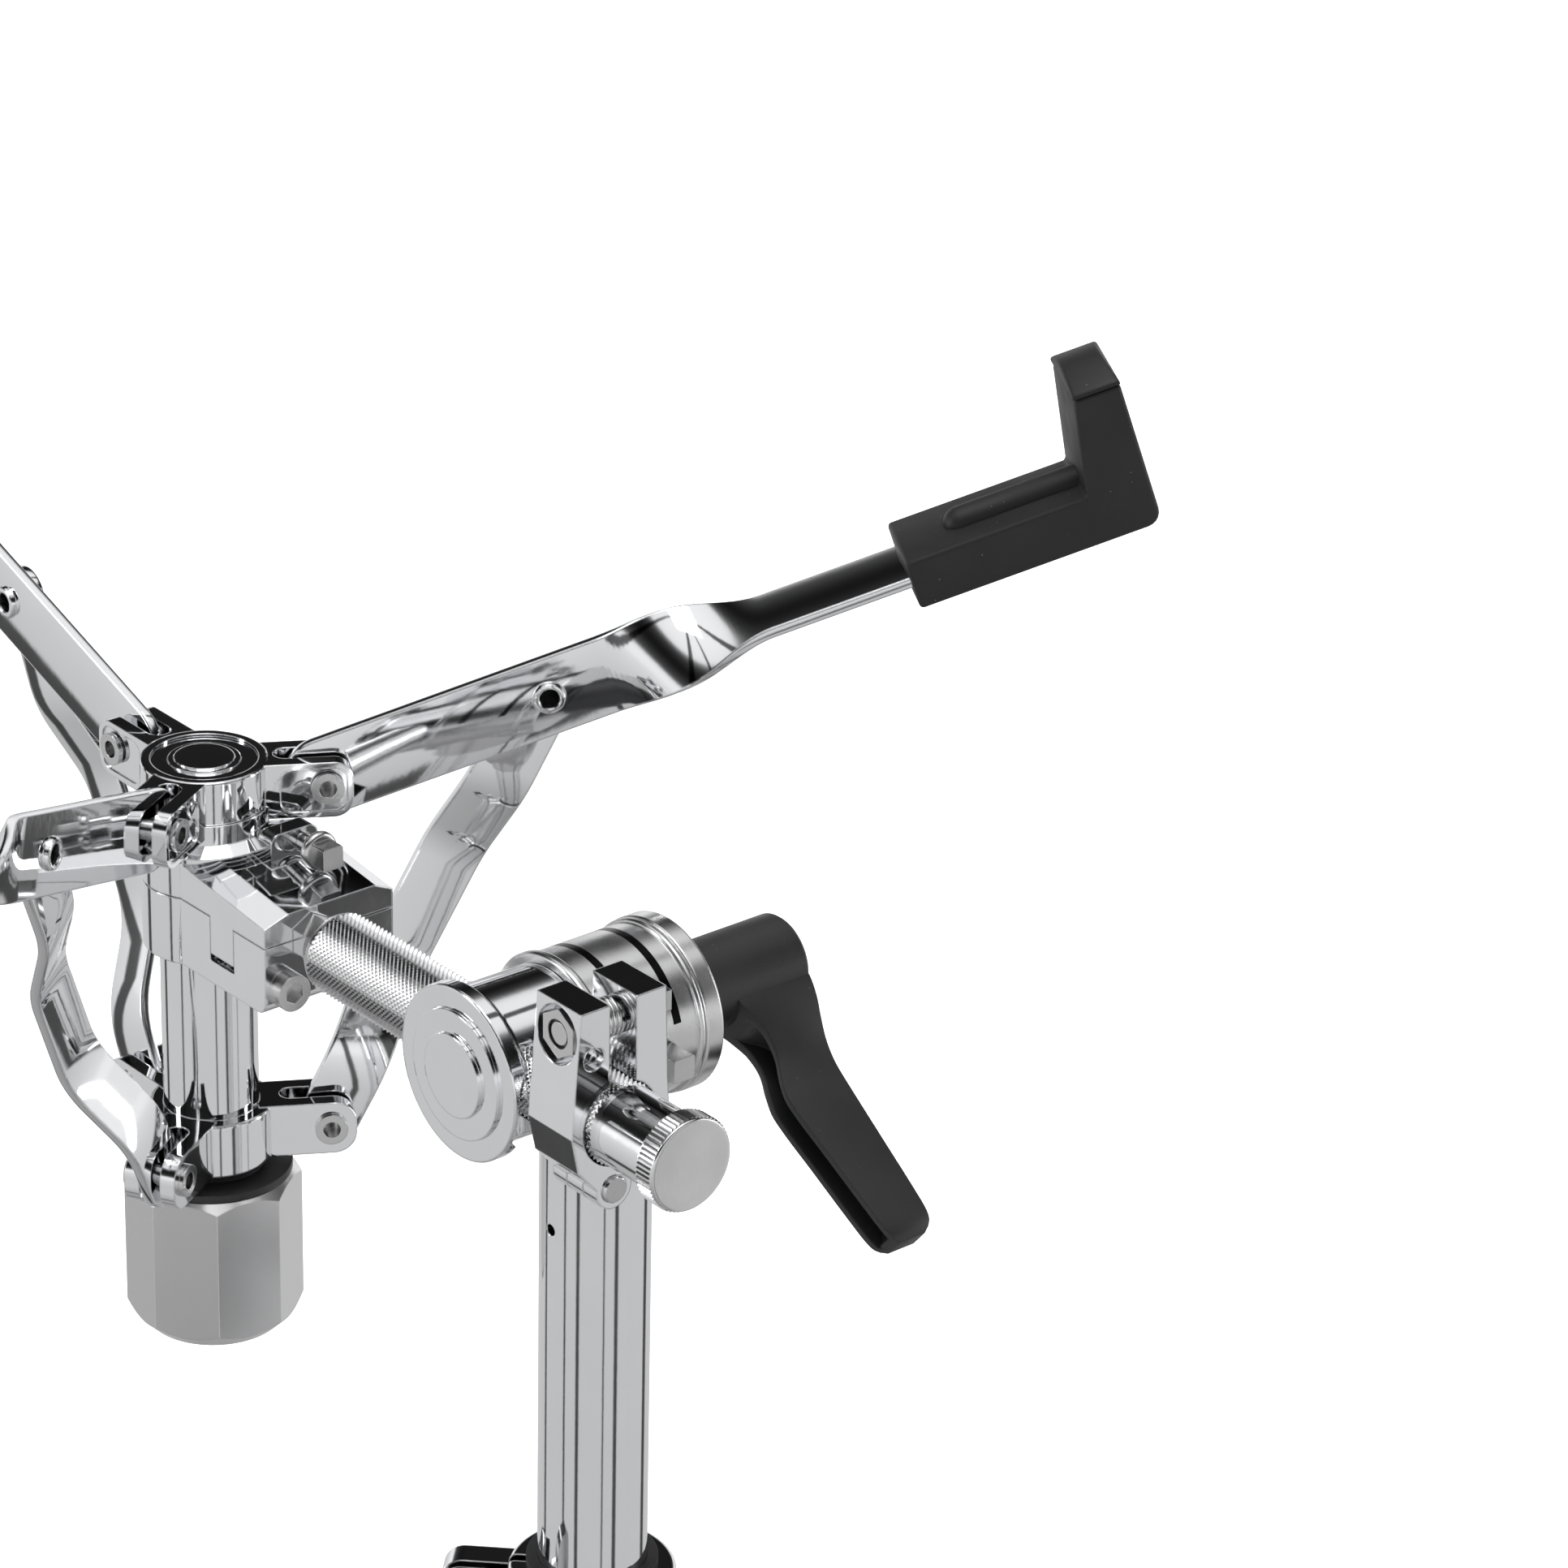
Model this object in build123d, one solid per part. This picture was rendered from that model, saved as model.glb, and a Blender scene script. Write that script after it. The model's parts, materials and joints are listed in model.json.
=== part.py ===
"""Snare drum stand: a folding three-armed basket on an offset rod, a tilter on a height tube, and a tripod.

Millimetres, +Z up. The origin is on the axis of the stand's tube, at the floor. +X is the way the offset rod
points past the tilter, +Y is the tilter axis, towards its clamping lever, and the basket hangs off the -X side.
"""

import math
import os

from build123d import *

# ---- driving dimensions -----------------------------------------------------------------------------------------
AXIS_HEIGHT = 480.0  # tilter axis above the floor; the head's own heights are measured from it
GAP = 0.3  # air between faces of different bodies
FIT = 0.04  # radial clearance of a running fit

MAIN_TUBE_R, MAIN_TUBE_WALL = 14.3, 1.6
BASE_TUBE_R, BASE_TUBE_WALL = 17.5, 1.6
BASKET_TUBE_R, BASKET_TUBE_WALL = 12.7, 1.5

ROD_Y = -27.6  # axis of the offset rod, along X
ROD_R = 11.1
BASKET_X = -129.1  # axis of the basket, upright, in the plane of the rod
HEX_FLATS = 11.1

BARREL_R, BARREL_FRONT, BARREL_BACK = 22.5, -15.4, 16.7
HEAD_R, HEAD_FRONT, HEAD_BACK = 22.95, -43.5, -15.7
WASHER_R, WASHER_BACK = 23.1, 22.2

LUG_AZIMUTHS = (59.5, 179.5, 299.5)  # the three arms, about the basket axis
STRUT_SIDES = (1, -1, -1)  # side of its arm that each strut runs on: +1 is anticlockwise from above
PIVOT_RADIUS = 31.2
UPPER_PIVOT, HUB_DROP = 25.9, 100.2  # height of the arm pivots, and of the strut pivots below them
ARM_RISE = 18.8  # degrees above the horizontal
ARM_TO_STRUT, ARM_LENGTH = 61.7, 226.7
STRUT_LENGTH = 133.5
STRIP = 3.0  # thickness of the arm and strut strips

LEG_TOP, LEG_FOOT_RADIUS = 165.0, 250.0
LEG_AZIMUTHS = (180.0, 300.0, 60.0)
LEG_PIVOT_RADIUS, LEG_BRACE_AT, BRACE_HUB = 29.5, 130.0, 48.0
FOOT_PAD_LOW = 0.0

LOW = (Align.CENTER, Align.CENTER, Align.MIN)


# ---- helpers ----------------------------------------------------------------------------------------------------
def bar(axis, radius, start, stop, at=(0.0, 0.0)):
    """A round bar along X, Y or Z between two places; at holds its other two coordinates."""
    turn = {"x": Rot(0, 90, 0), "y": Rot(-90, 0, 0), "z": Rot(0, 0, 0)}[axis]
    place = {"x": (start, *at), "y": (at[0], start, at[1]), "z": (*at, start)}[axis]
    return Pos(*place) * turn * Cylinder(radius, stop - start, align=LOW)


def cone(axis, start_radius, stop_radius, start, stop, at=(0.0, 0.0)):
    """A tapered round bar along X, Y or Z."""
    turn = {"x": Rot(0, 90, 0), "y": Rot(-90, 0, 0), "z": Rot(0, 0, 0)}[axis]
    place = {"x": (start, *at), "y": (at[0], start, at[1]), "z": (*at, start)}[axis]
    return Pos(*place) * turn * Cone(start_radius, stop_radius, stop - start, align=LOW)


def prism(axis, sides, flats, start, stop, at=(0.0, 0.0), turn=0.0):
    """A bar with a regular polygon section, flats being the distance across two flats."""
    face = {"x": Rot(0, 90, 0), "y": Rot(-90, 0, 0), "z": Rot(0, 0, 0)}[axis]
    place = {"x": (start, *at), "y": (at[0], start, at[1]), "z": (*at, start)}[axis]
    outline = RegularPolygon(flats / 2, sides, major_radius=False, rotation=turn)
    return Pos(*place) * face * extrude(outline, stop - start)


def block(x, y, z):
    """A box between pairs of coordinates."""
    size = [high - low for low, high in (x, y, z)]
    return Pos(x[0], y[0], z[0]) * Box(*size, align=(Align.MIN, Align.MIN, Align.MIN))


def slab(points, plane, start, stop):
    """A flat outline in the XY, XZ or YZ plane, as thick as the third coordinate's range."""
    base = {"xy": Plane.XY, "xz": Plane.XZ, "yz": Plane.YZ}[plane]
    # Plane.XZ looks along -Y, so its third coordinate runs the other way.
    reach = -start if plane == "xz" else start
    depth = start - stop if plane == "xz" else stop - start
    face = make_face(Polyline(*points, close=True))
    return extrude(base.offset(reach) * face, depth)


def ring_of(make, azimuths):
    """One copy of a solid for each azimuth, turned about Z."""
    return [Rot(0, 0, azimuth) * make for azimuth in azimuths]


def save(node, *solids, lift=AXIS_HEIGHT, shift=(0.0, 0.0)):
    """Writes one node, raised from the head's own heights to the height above the floor."""
    pieces = [Pos(*shift, lift) * piece for solid in solids for piece in solid.solids()]
    shape = pieces[0] if len(pieces) == 1 else Compound(pieces)
    export_step(shape, f"parts/{node}.step")


BASKET = (BASKET_X, ROD_Y)


# ---- tripod -----------------------------------------------------------------------------------------------------
BASE_LOW, BASE_TOP = 30.0, 318.0
CLAMP_LOW = 292.0
CLAMP_AZIMUTH = 225.0  # the way the height clamp's ears point
BUSH_R, BUSH_LOW = 15.9 - FIT, 291.0
RIVET_R, LEG_STRIP_WIDE = 2.5, 15.0
LEG_IN, LEG_OUT, BRACE_IN, BRACE_OUT = 9.9, 12.3, 12.65, 14.65  # faces of the leg and brace strips, across


def cross_rivet(height, reach):
    """A headed rivet across a lug, in its own azimuth, with its heads beginning at reach from the middle."""
    at = (LEG_PIVOT_RADIUS, height)
    heads = bar("y", 4.5, reach, reach + 1.4, at) + bar("y", 4.5, -reach - 1.4, -reach, at)
    return bar("y", RIVET_R, -reach, reach, at) + heads


def tripod_base():
    """The fixed tube, its height clamp with an ear each side of the slot, and the hub the braces hang on."""
    bore = bar("z", BASE_TUBE_R - BASE_TUBE_WALL, BASE_LOW - 1, BASE_TOP + 1)
    tube = bar("z", BASE_TUBE_R, BASE_LOW, BASE_TOP) - bore
    save("base_tube", tube, lift=0)

    body = fillet(bar("z", 22.0, CLAMP_LOW, BASE_TOP + 4).edges(), 2.0)
    ears = block((10.0, 40.0), (-9.0, 9.0), (CLAMP_LOW + 3, BASE_TOP + 1))
    ears = fillet(ears.edges().filter_by(Axis.Y).group_by(Axis.X)[-1], 6.0)
    clamp = body + ears
    clamp -= bar("z", BASE_TUBE_R, CLAMP_LOW - 1, BASE_TOP)
    clamp -= bar("z", 15.9, BASE_TOP - 1, BASE_TOP + 5)
    clamp -= block((BASE_TUBE_R - 1, 41.0), (-1.5, 1.5), (CLAMP_LOW - 1, BASE_TOP + 5))
    middle = (CLAMP_LOW + BASE_TOP) / 2 + 2
    clamp -= bar("y", 4.0 + FIT, -10, 10, (30.0, middle))
    save("height_clamp", Rot(0, 0, CLAMP_AZIMUTH) * clamp, lift=0)

    wing = bar("y", 4.0, -12.5, 20.0, (30.0, middle)) + bar("y", 7.5, 9.3, 22.0, (30.0, middle))
    grip = block((26.5, 33.5), (19.0, 36.0), (middle - 15, middle + 15))
    grip = fillet(grip.edges().filter_by(Axis.X), 6.0)
    wing = wing + grip + prism("y", 6, 13.0, -13.8, -9.3, (30.0, middle))
    save("height_clamp_wing_bolt", Rot(0, 0, CLAMP_AZIMUTH) * wing, lift=0)

    flange = bar("z", BUSH_R, BUSH_LOW, BASE_TOP + 5) + bar("z", 17.2, BASE_TOP + 4 + GAP, BASE_TOP + 7)
    save("height_bushing", flange - bar("z", MAIN_TUBE_R + FIT, BUSH_LOW - 1, BASE_TOP + 8), lift=0)

    hub = bar("z", 22.0, BRACE_HUB - 14, BRACE_HUB + 10)
    lug = block((15.0, 36.0), (-12.3, 12.3), (BRACE_HUB - 9, BRACE_HUB + 9))
    lug = fillet(lug.edges().filter_by(Axis.Y).group_by(Axis.X)[-1], 7.0)
    for piece in ring_of(lug, LEG_AZIMUTHS):
        hub += piece
    hub -= bar("z", BASE_TUBE_R, BRACE_HUB - 15, BRACE_HUB + 11)
    rivet = cross_rivet(BRACE_HUB, BRACE_OUT + GAP)
    for piece in ring_of(bar("y", RIVET_R, -20, 20, (LEG_PIVOT_RADIUS, BRACE_HUB)), LEG_AZIMUTHS):
        hub -= piece
    save("brace_hub", hub, lift=0)
    save("brace_hub_rivets", *ring_of(rivet, LEG_AZIMUTHS), lift=0)


def leg_collar():
    """The collar that slides on the base tube and carries the leg pivots, with its locking wing screw."""
    collar = bar("z", 22.5, LEG_TOP - 14, LEG_TOP + 14)
    collar = chamfer(collar.edges(), 1.5)
    lug = block((15.0, 36.0), (-9.6, 9.6), (LEG_TOP - 9, LEG_TOP + 9))
    lug = fillet(lug.edges().filter_by(Axis.Y).group_by(Axis.X)[-1], 7.0)
    for piece in ring_of(lug, LEG_AZIMUTHS):
        collar += piece
    boss = bar("x", 8.0, 15.0, 30.0, (0.0, LEG_TOP))
    collar += boss
    collar -= bar("z", BASE_TUBE_R + FIT, LEG_TOP - 15, LEG_TOP + 15)
    collar -= bar("x", 3.0 + FIT, 15.0, 31.0, (0.0, LEG_TOP))
    for piece in ring_of(bar("y", RIVET_R, -20, 20, (LEG_PIVOT_RADIUS, LEG_TOP)), LEG_AZIMUTHS):
        collar -= piece
    save("leg_collar", collar, lift=0)
    save("leg_collar_rivets", *ring_of(cross_rivet(LEG_TOP, LEG_OUT + GAP), LEG_AZIMUTHS), lift=0)

    screw = bar("x", 3.0, BASE_TUBE_R + 0.6, 32.0, (0.0, LEG_TOP)) + bar("x", 6.5, 30.0 + GAP, 38.0, (0.0, LEG_TOP))
    grip = block((33.0, 50.0), (-14.0, 14.0), (LEG_TOP - 3, LEG_TOP + 3))
    grip = fillet(grip.edges().filter_by(Axis.Z), 5.5)
    save("leg_collar_wing_screw", screw + grip, lift=0)


def tripod_legs():
    """Paired leg strips with a rubber foot each, and the paired braces between the fixed hub and the legs."""
    foot_middle = 9.0
    run, fall = LEG_FOOT_RADIUS - LEG_PIVOT_RADIUS, LEG_TOP - foot_middle
    length = math.hypot(run, fall)
    slope = math.degrees(math.atan2(fall, run))
    reach = LEG_BRACE_AT
    elbow_out = reach * math.cos(math.radians(slope))
    elbow_up = LEG_TOP - reach * math.sin(math.radians(slope)) - BRACE_HUB
    brace_length = math.hypot(elbow_out, elbow_up)
    brace_slope = math.degrees(math.atan2(elbow_up, elbow_out))
    print(f"leg length {length:.4f} slope {slope:.4f} brace length {brace_length:.4f} slope {brace_slope:.4f}")

    def strip(longest, low, high):
        """A strip with round ends from one pivot to beyond the other."""
        half = LEG_STRIP_WIDE / 2
        plate = fillet(block((-half, longest), (low, high), (-half, half)).edges().filter_by(Axis.Y), half - 0.1)
        return plate - bar("y", RIVET_R + FIT, -20, 20)

    for number, azimuth in enumerate(LEG_AZIMUTHS, 1):
        place = Rot(0, 0, azimuth) * Pos(LEG_PIVOT_RADIUS, 0, LEG_TOP) * Rot(0, slope, 0)
        # Where a brace meets a leg, each has half of the rivet, and the halves face each other across a gap.
        strips = [strip(length + 6, LEG_IN, LEG_OUT), strip(length + 6, -LEG_OUT, -LEG_IN)]
        rivet = bar("y", RIVET_R, LEG_IN, LEG_OUT, (reach, 0)) + bar("y", 4.5, LEG_IN - 1.4, LEG_IN, (reach, 0))
        strips = [plate - bar("y", RIVET_R, -20, 20, (reach, 0)) for plate in strips]
        spacer = bar("y", 3.0, -LEG_IN, LEG_IN, (length - 40, 0))
        leg = (*strips, rivet, mirror(rivet, Plane.XZ), spacer)
        save(f"leg_{number}", *[place * solid for solid in leg], lift=0)
        tread = block((length - 26, length + 12), (-15.0, 15.0), (-13, 12))
        tread = fillet(tread.edges().filter_by(Axis.Y), 6.0)
        for solid in strips:
            tread -= solid
        below_floor = block((0, 400), (-40, 40), (-60, FOOT_PAD_LOW))
        foot = Pos(LEG_PIVOT_RADIUS, 0, LEG_TOP) * Rot(0, slope, 0) * tread - below_floor
        save(f"leg_foot_{number}", Rot(0, 0, azimuth) * foot, lift=0)

        brace_place = Rot(0, 0, azimuth) * Pos(LEG_PIVOT_RADIUS, 0, BRACE_HUB) * Rot(0, -brace_slope, 0)
        far = (brace_length, 0)
        plate = strip(brace_length + 7.5, BRACE_IN, BRACE_OUT) - bar("y", RIVET_R, -20, 20, far)
        rivet = bar("y", RIVET_R, BRACE_IN, BRACE_OUT, far) + bar("y", 4.5, BRACE_OUT, BRACE_OUT + 1.4, far)
        brace = (plate, rivet, mirror(plate, Plane.XZ), mirror(rivet, Plane.XZ))
        save(f"brace_{number}", *[brace_place * solid for solid in brace], lift=0)


# ---- height tube and tilter casting -----------------------------------------------------------------------------
TUBE_LOW, TUBE_TOP = -420.0, -6.0
STUD_R = 4.0


def height_tube_and_casting():
    """The upper tube and the casting on top of it, with the drum-key bolt that locks it and the end washer."""
    tube = bar("z", MAIN_TUBE_R, TUBE_LOW, TUBE_TOP) - bar("z", MAIN_TUBE_R - MAIN_TUBE_WALL, TUBE_LOW - 1, TUBE_TOP + 1)
    tube -= bar("y", 1.6, -16, 0, (0.0, -54.0))
    save("upper_tube", tube)

    barrel = bar("y", BARREL_R - 0.5, BARREL_FRONT, BARREL_BACK)
    for start, stop in ((BARREL_FRONT, BARREL_FRONT + 2.8), (BARREL_BACK - 2.0, BARREL_BACK)):
        barrel += fillet(bar("y", BARREL_R + 0.4, start, stop).edges(), 0.9)
    neck = cone("z", 16.6, 18.6, -26.0, -12.0) & block((-20, 20), (BARREL_FRONT, BARREL_BACK), (-27, -11))
    casting = barrel + neck
    casting -= bar("z", MAIN_TUBE_R, -27.0, TUBE_TOP)
    casting -= bar("y", STUD_R + FIT, BARREL_FRONT - 1, BARREL_BACK + 1)
    casting -= bar("x", 3.0 + FIT, 8.0, 30.0, (0.0, 1.5))
    save("tilter_casting", casting)

    key_bolt = bar("x", 3.0, 9.0, 24.0, (0.0, 1.5)) + bar("x", 5.0, BARREL_R + GAP, 25.0, (0.0, 1.5))
    key_bolt += block((24.5, 34.5), (-3.2, 3.2), (-1.7, 4.7)) & bar("x", 4.3, 24.0, 35.0, (0.0, 1.5))
    save("tube_key_bolt", key_bolt)

    washer = fillet(bar("y", WASHER_R, BARREL_BACK, WASHER_BACK).edges(), 0.7)
    save("pressure_washer", washer - bar("y", STUD_R + FIT, BARREL_BACK - 1, WASHER_BACK + 1))


LEVER_LEAN = 40.0  # degrees below +X
LEVER_HUB_BACK = 59.5


def clamp_lever():
    """The moulded lever that pulls the tilter together, on its steel threaded insert."""
    hub = bar("y", 12.0, 26.0, LEVER_HUB_BACK) + bar("y", 10.0, WASHER_BACK + GAP, 26.0)
    hub += bar("y", 8.0, LEVER_HUB_BACK, 61.5)
    hub = fillet(hub.edges().group_by(Axis.Y)[-1], 0.8)
    # The arm seen from the side the screw is on: it leaves the hub, narrows to a waist, widens and tapers.
    upper = [(2.0, 59.5), (14.0, 58.5), (25.0, 55.5), (36.0, 55.0), (78.0, 57.5)]
    lower = [(81.5, 54.0), (81.5, 45.5), (78.0, 42.5), (36.0, 35.5), (25.0, 39.5), (14.0, 38.0), (2.0, 35.0)]
    arm = slab([(x, y) for x, y in upper + lower], "xy", -8.0, 8.0)
    side = [(0.0, -8.0), (14.0, -7.5), (30.0, -5.0), (78.0, -5.0), (81.5, -3.0)]
    side += [(81.5, 3.0), (78.0, 5.0), (30.0, 5.0), (14.0, 7.5), (0.0, 8.0)]
    arm &= slab(side, "xz", 20.0, 70.0)
    lean = Rot(0, LEVER_LEAN, 0)
    channel = [(18.0, 37.0), (26.0, 37.0), (37.0, 34.0), (77.0, 41.0), (77.0, 46.0), (37.0, 41.0), (18.0, 42.5)]
    channel = slab(channel, "xy", -3.2, 3.2)
    lever = hub + lean * (arm - channel)
    lever -= bar("y", 6.5, WASHER_BACK, 40.0)
    lever -= bar("y", 4.0, 40.0, 57.0)
    lever -= bar("y", 5.0, 57.0, 62.0)
    save("clamp_lever", lever)
    insert = bar("y", 6.5, WASHER_BACK + GAP, 40.0) - bar("y", STUD_R + FIT, WASHER_BACK, 36.0)
    save("lever_insert", insert)
    screw = bar("y", 4.9, 57.0, 61.5) + bar("y", 2.2, 48.0, 57.0)
    save("lever_screw", screw - prism("y", 6, 4.0, 58.5, 62.0))
    coil = bar("y", 3.9, 40.5, 56.5) - bar("y", 2.9, 40.0, 57.0)
    save("lever_spring", coil)


# ---- tilter head, offset rod and its memory clamp ---------------------------------------------------------------
WAIST_R = 20.2


def tilter_head():
    """The polished half of the tilter that grips the rod, its stepped end cap and the stud through the casting."""
    front_disc = fillet(bar("y", HEAD_R, HEAD_FRONT, -39.2).edges(), 0.6)
    head = front_disc + bar("y", WAIST_R, -39.2, HEAD_BACK)
    root = [e for e in head.edges() if e.geom_type == GeomType.CIRCLE and abs(e.radius - WAIST_R) < 0.01]
    root = [e for e in root if abs(e.center().Y + 39.2) < 0.01]
    head = fillet(root, 2.4)
    head -= bar("x", ROD_R + FIT, -30.0, 30.0, (ROD_Y, 0.0))
    # A flat pocket on the rod's far side, and the slot for a lug of the memory clamp beside it.
    head -= block((16.5, 30.0), (-36.5, -17.0), (-14.0, 15.0))
    head -= block((15.0, 30.0), (-42.2, -36.0), (-14.0, 1.0))
    head -= bar("y", 17.0, HEAD_FRONT - 1, -41.6)
    head -= bar("y", STUD_R, ROD_Y + 12.0, HEAD_BACK + 1)
    save("tilter_head", head)
    cap = bar("y", 17.0, -44.5, -41.6) + bar("y", 11.0, -45.5, -44.5)
    save("tilter_cap", cap)
    save("tilter_stud", bar("y", STUD_R, HEAD_BACK, 35.0))


KNURL_START, KNURL_END, ROD_END = -71.0, 47.0, 64.5
HEX_END = -115.5


def offset_rod():
    """The knurled rod with its end cap, and the hex bar set into it that the basket clamps to."""
    rod = bar("x", ROD_R, KNURL_START, KNURL_END, (ROD_Y, 0.0)) + bar("x", 10.4, KNURL_END, ROD_END, (ROD_Y, 0.0))
    rod -= prism("x", 6, HEX_FLATS, KNURL_START - 1, -40.0, (ROD_Y, 0.0))
    save("offset_rod", rod)
    cap = chamfer(bar("x", 12.5, ROD_END, 71.0, (ROD_Y, 0.0)).edges(), 0.6)
    save("rod_end_cap", cap)
    collar = cone("x", 7.6, 10.6, -76.0, KNURL_START, (ROD_Y, 0.0))
    hex_bar = prism("x", 6, HEX_FLATS, HEX_END, -40.0, (ROD_Y, 0.0))
    save("rod_hex_bar", collar + hex_bar)


CLAMP_X = (27.0, 44.0)
CLAMP_BOLT = (35.5, 24.7)
CLAMP_PIN = (-29.5, -17.5)
PIN_R, KNUCKLE_R = 3.6, 5.4


def memory_clamp():
    """The two-jawed stop on the rod: a fixed jaw, a hinged one, its pin, and the bolt, nut and spring above."""
    x0, x1 = CLAMP_X
    x_bolt, z_bolt = CLAMP_BOLT
    rear_points = [(-23.0, 33.0), (-14.0, 33.0), (-13.2, 8.0), (-12.6, 0.0), (-15.5, -10.0), (-24.0, -16.0)]
    rear_points += [(-26.2, -18.6), (-27.2, -14.5), (-27.2, 0.0), (-23.0, 6.0)]
    rear = slab(rear_points, "yz", x0, x1)
    knuckle_middle = ((x0 + x1) / 2 - 3.0, (x0 + x1) / 2 + 3.0)
    rear += bar("x", KNUCKLE_R, *knuckle_middle, CLAMP_PIN)
    rear_clear = bar("x", KNUCKLE_R + GAP, x0 - 1, knuckle_middle[0] - GAP, CLAMP_PIN)
    rear_clear += bar("x", KNUCKLE_R + GAP, knuckle_middle[1] + GAP, x1 + 1, CLAMP_PIN)
    rear -= rear_clear
    rear -= bar("x", ROD_R + FIT, x0 - 1, x1 + 1, (ROD_Y, 0.0))
    rear -= bar("x", PIN_R, x0 - 1, x1 + 1, CLAMP_PIN)
    rear -= bar("y", 3.2, -30.0, -10.0, (x_bolt, z_bolt))
    rear -= bar("y", 5.5, -17.0, -10.0, (x_bolt, z_bolt))
    save("clamp_rear_jaw", rear)

    front_points = [(-31.2, 33.0), (-40.0, 33.0), (-42.0, 8.0), (-42.6, 0.0), (-40.5, -10.0), (-34.0, -17.5)]
    front_points += [(-31.5, -20.0), (-28.0, -14.5), (-28.0, 0.0), (-31.2, 6.0)]
    front = slab(front_points, "yz", x0, x1)
    front += bar("x", KNUCKLE_R, x0, knuckle_middle[0] - GAP, CLAMP_PIN)
    front += bar("x", KNUCKLE_R, knuckle_middle[1] + GAP, x1, CLAMP_PIN)
    front -= bar("x", KNUCKLE_R + GAP, knuckle_middle[0] - GAP, knuckle_middle[1] + GAP, CLAMP_PIN)
    front -= bar("x", ROD_R + GAP, x0 - 1, x1 + 1, (ROD_Y, 0.0))
    front -= bar("x", PIN_R + FIT, x0 - 1, x1 + 1, CLAMP_PIN)
    front -= bar("y", 4.5, -45.0, -30.0, (x_bolt, z_bolt))
    front -= bar("y", 7.6, -45.0, -35.5, (x_bolt, z_bolt))
    front -= bar("x", 3.0, 40.0, x1 + 1, (-36.0, 20.0))
    save("clamp_front_jaw", front)

    pin = chamfer(bar("x", PIN_R, x0 - 1.0, x1 + 1.0, CLAMP_PIN).edges(), 0.4)
    save("clamp_hinge_pin", pin)
    bolt = bar("y", 3.0, -40.0, -17.0, (x_bolt, z_bolt)) + bar("y", 5.2, -17.0, -15.5, (x_bolt, z_bolt))
    square = block((x_bolt - 2.7, x_bolt + 2.7), (-15.5, -7.5), (z_bolt - 2.7, z_bolt + 2.7))
    save("clamp_key_bolt", bolt + square)
    nut = prism("y", 6, 11.5, -40.4, -35.9, (x_bolt, z_bolt), turn=30.0) - bar("y", 3.8, -42, -30, (x_bolt, z_bolt))
    save("clamp_hex_nut", nut)
    spring = bar("y", 5.0, -30.7, -23.0, (x_bolt, z_bolt)) - bar("y", 3.9, -32, -22, (x_bolt, z_bolt))
    save("clamp_spring", spring)


# ---- basket clamp on the hex bar --------------------------------------------------------------------------------
RECEIVER_FACE = -83.0
BOLT_PLATE = -102.5  # face of the buttress that the key bolt goes into


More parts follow.
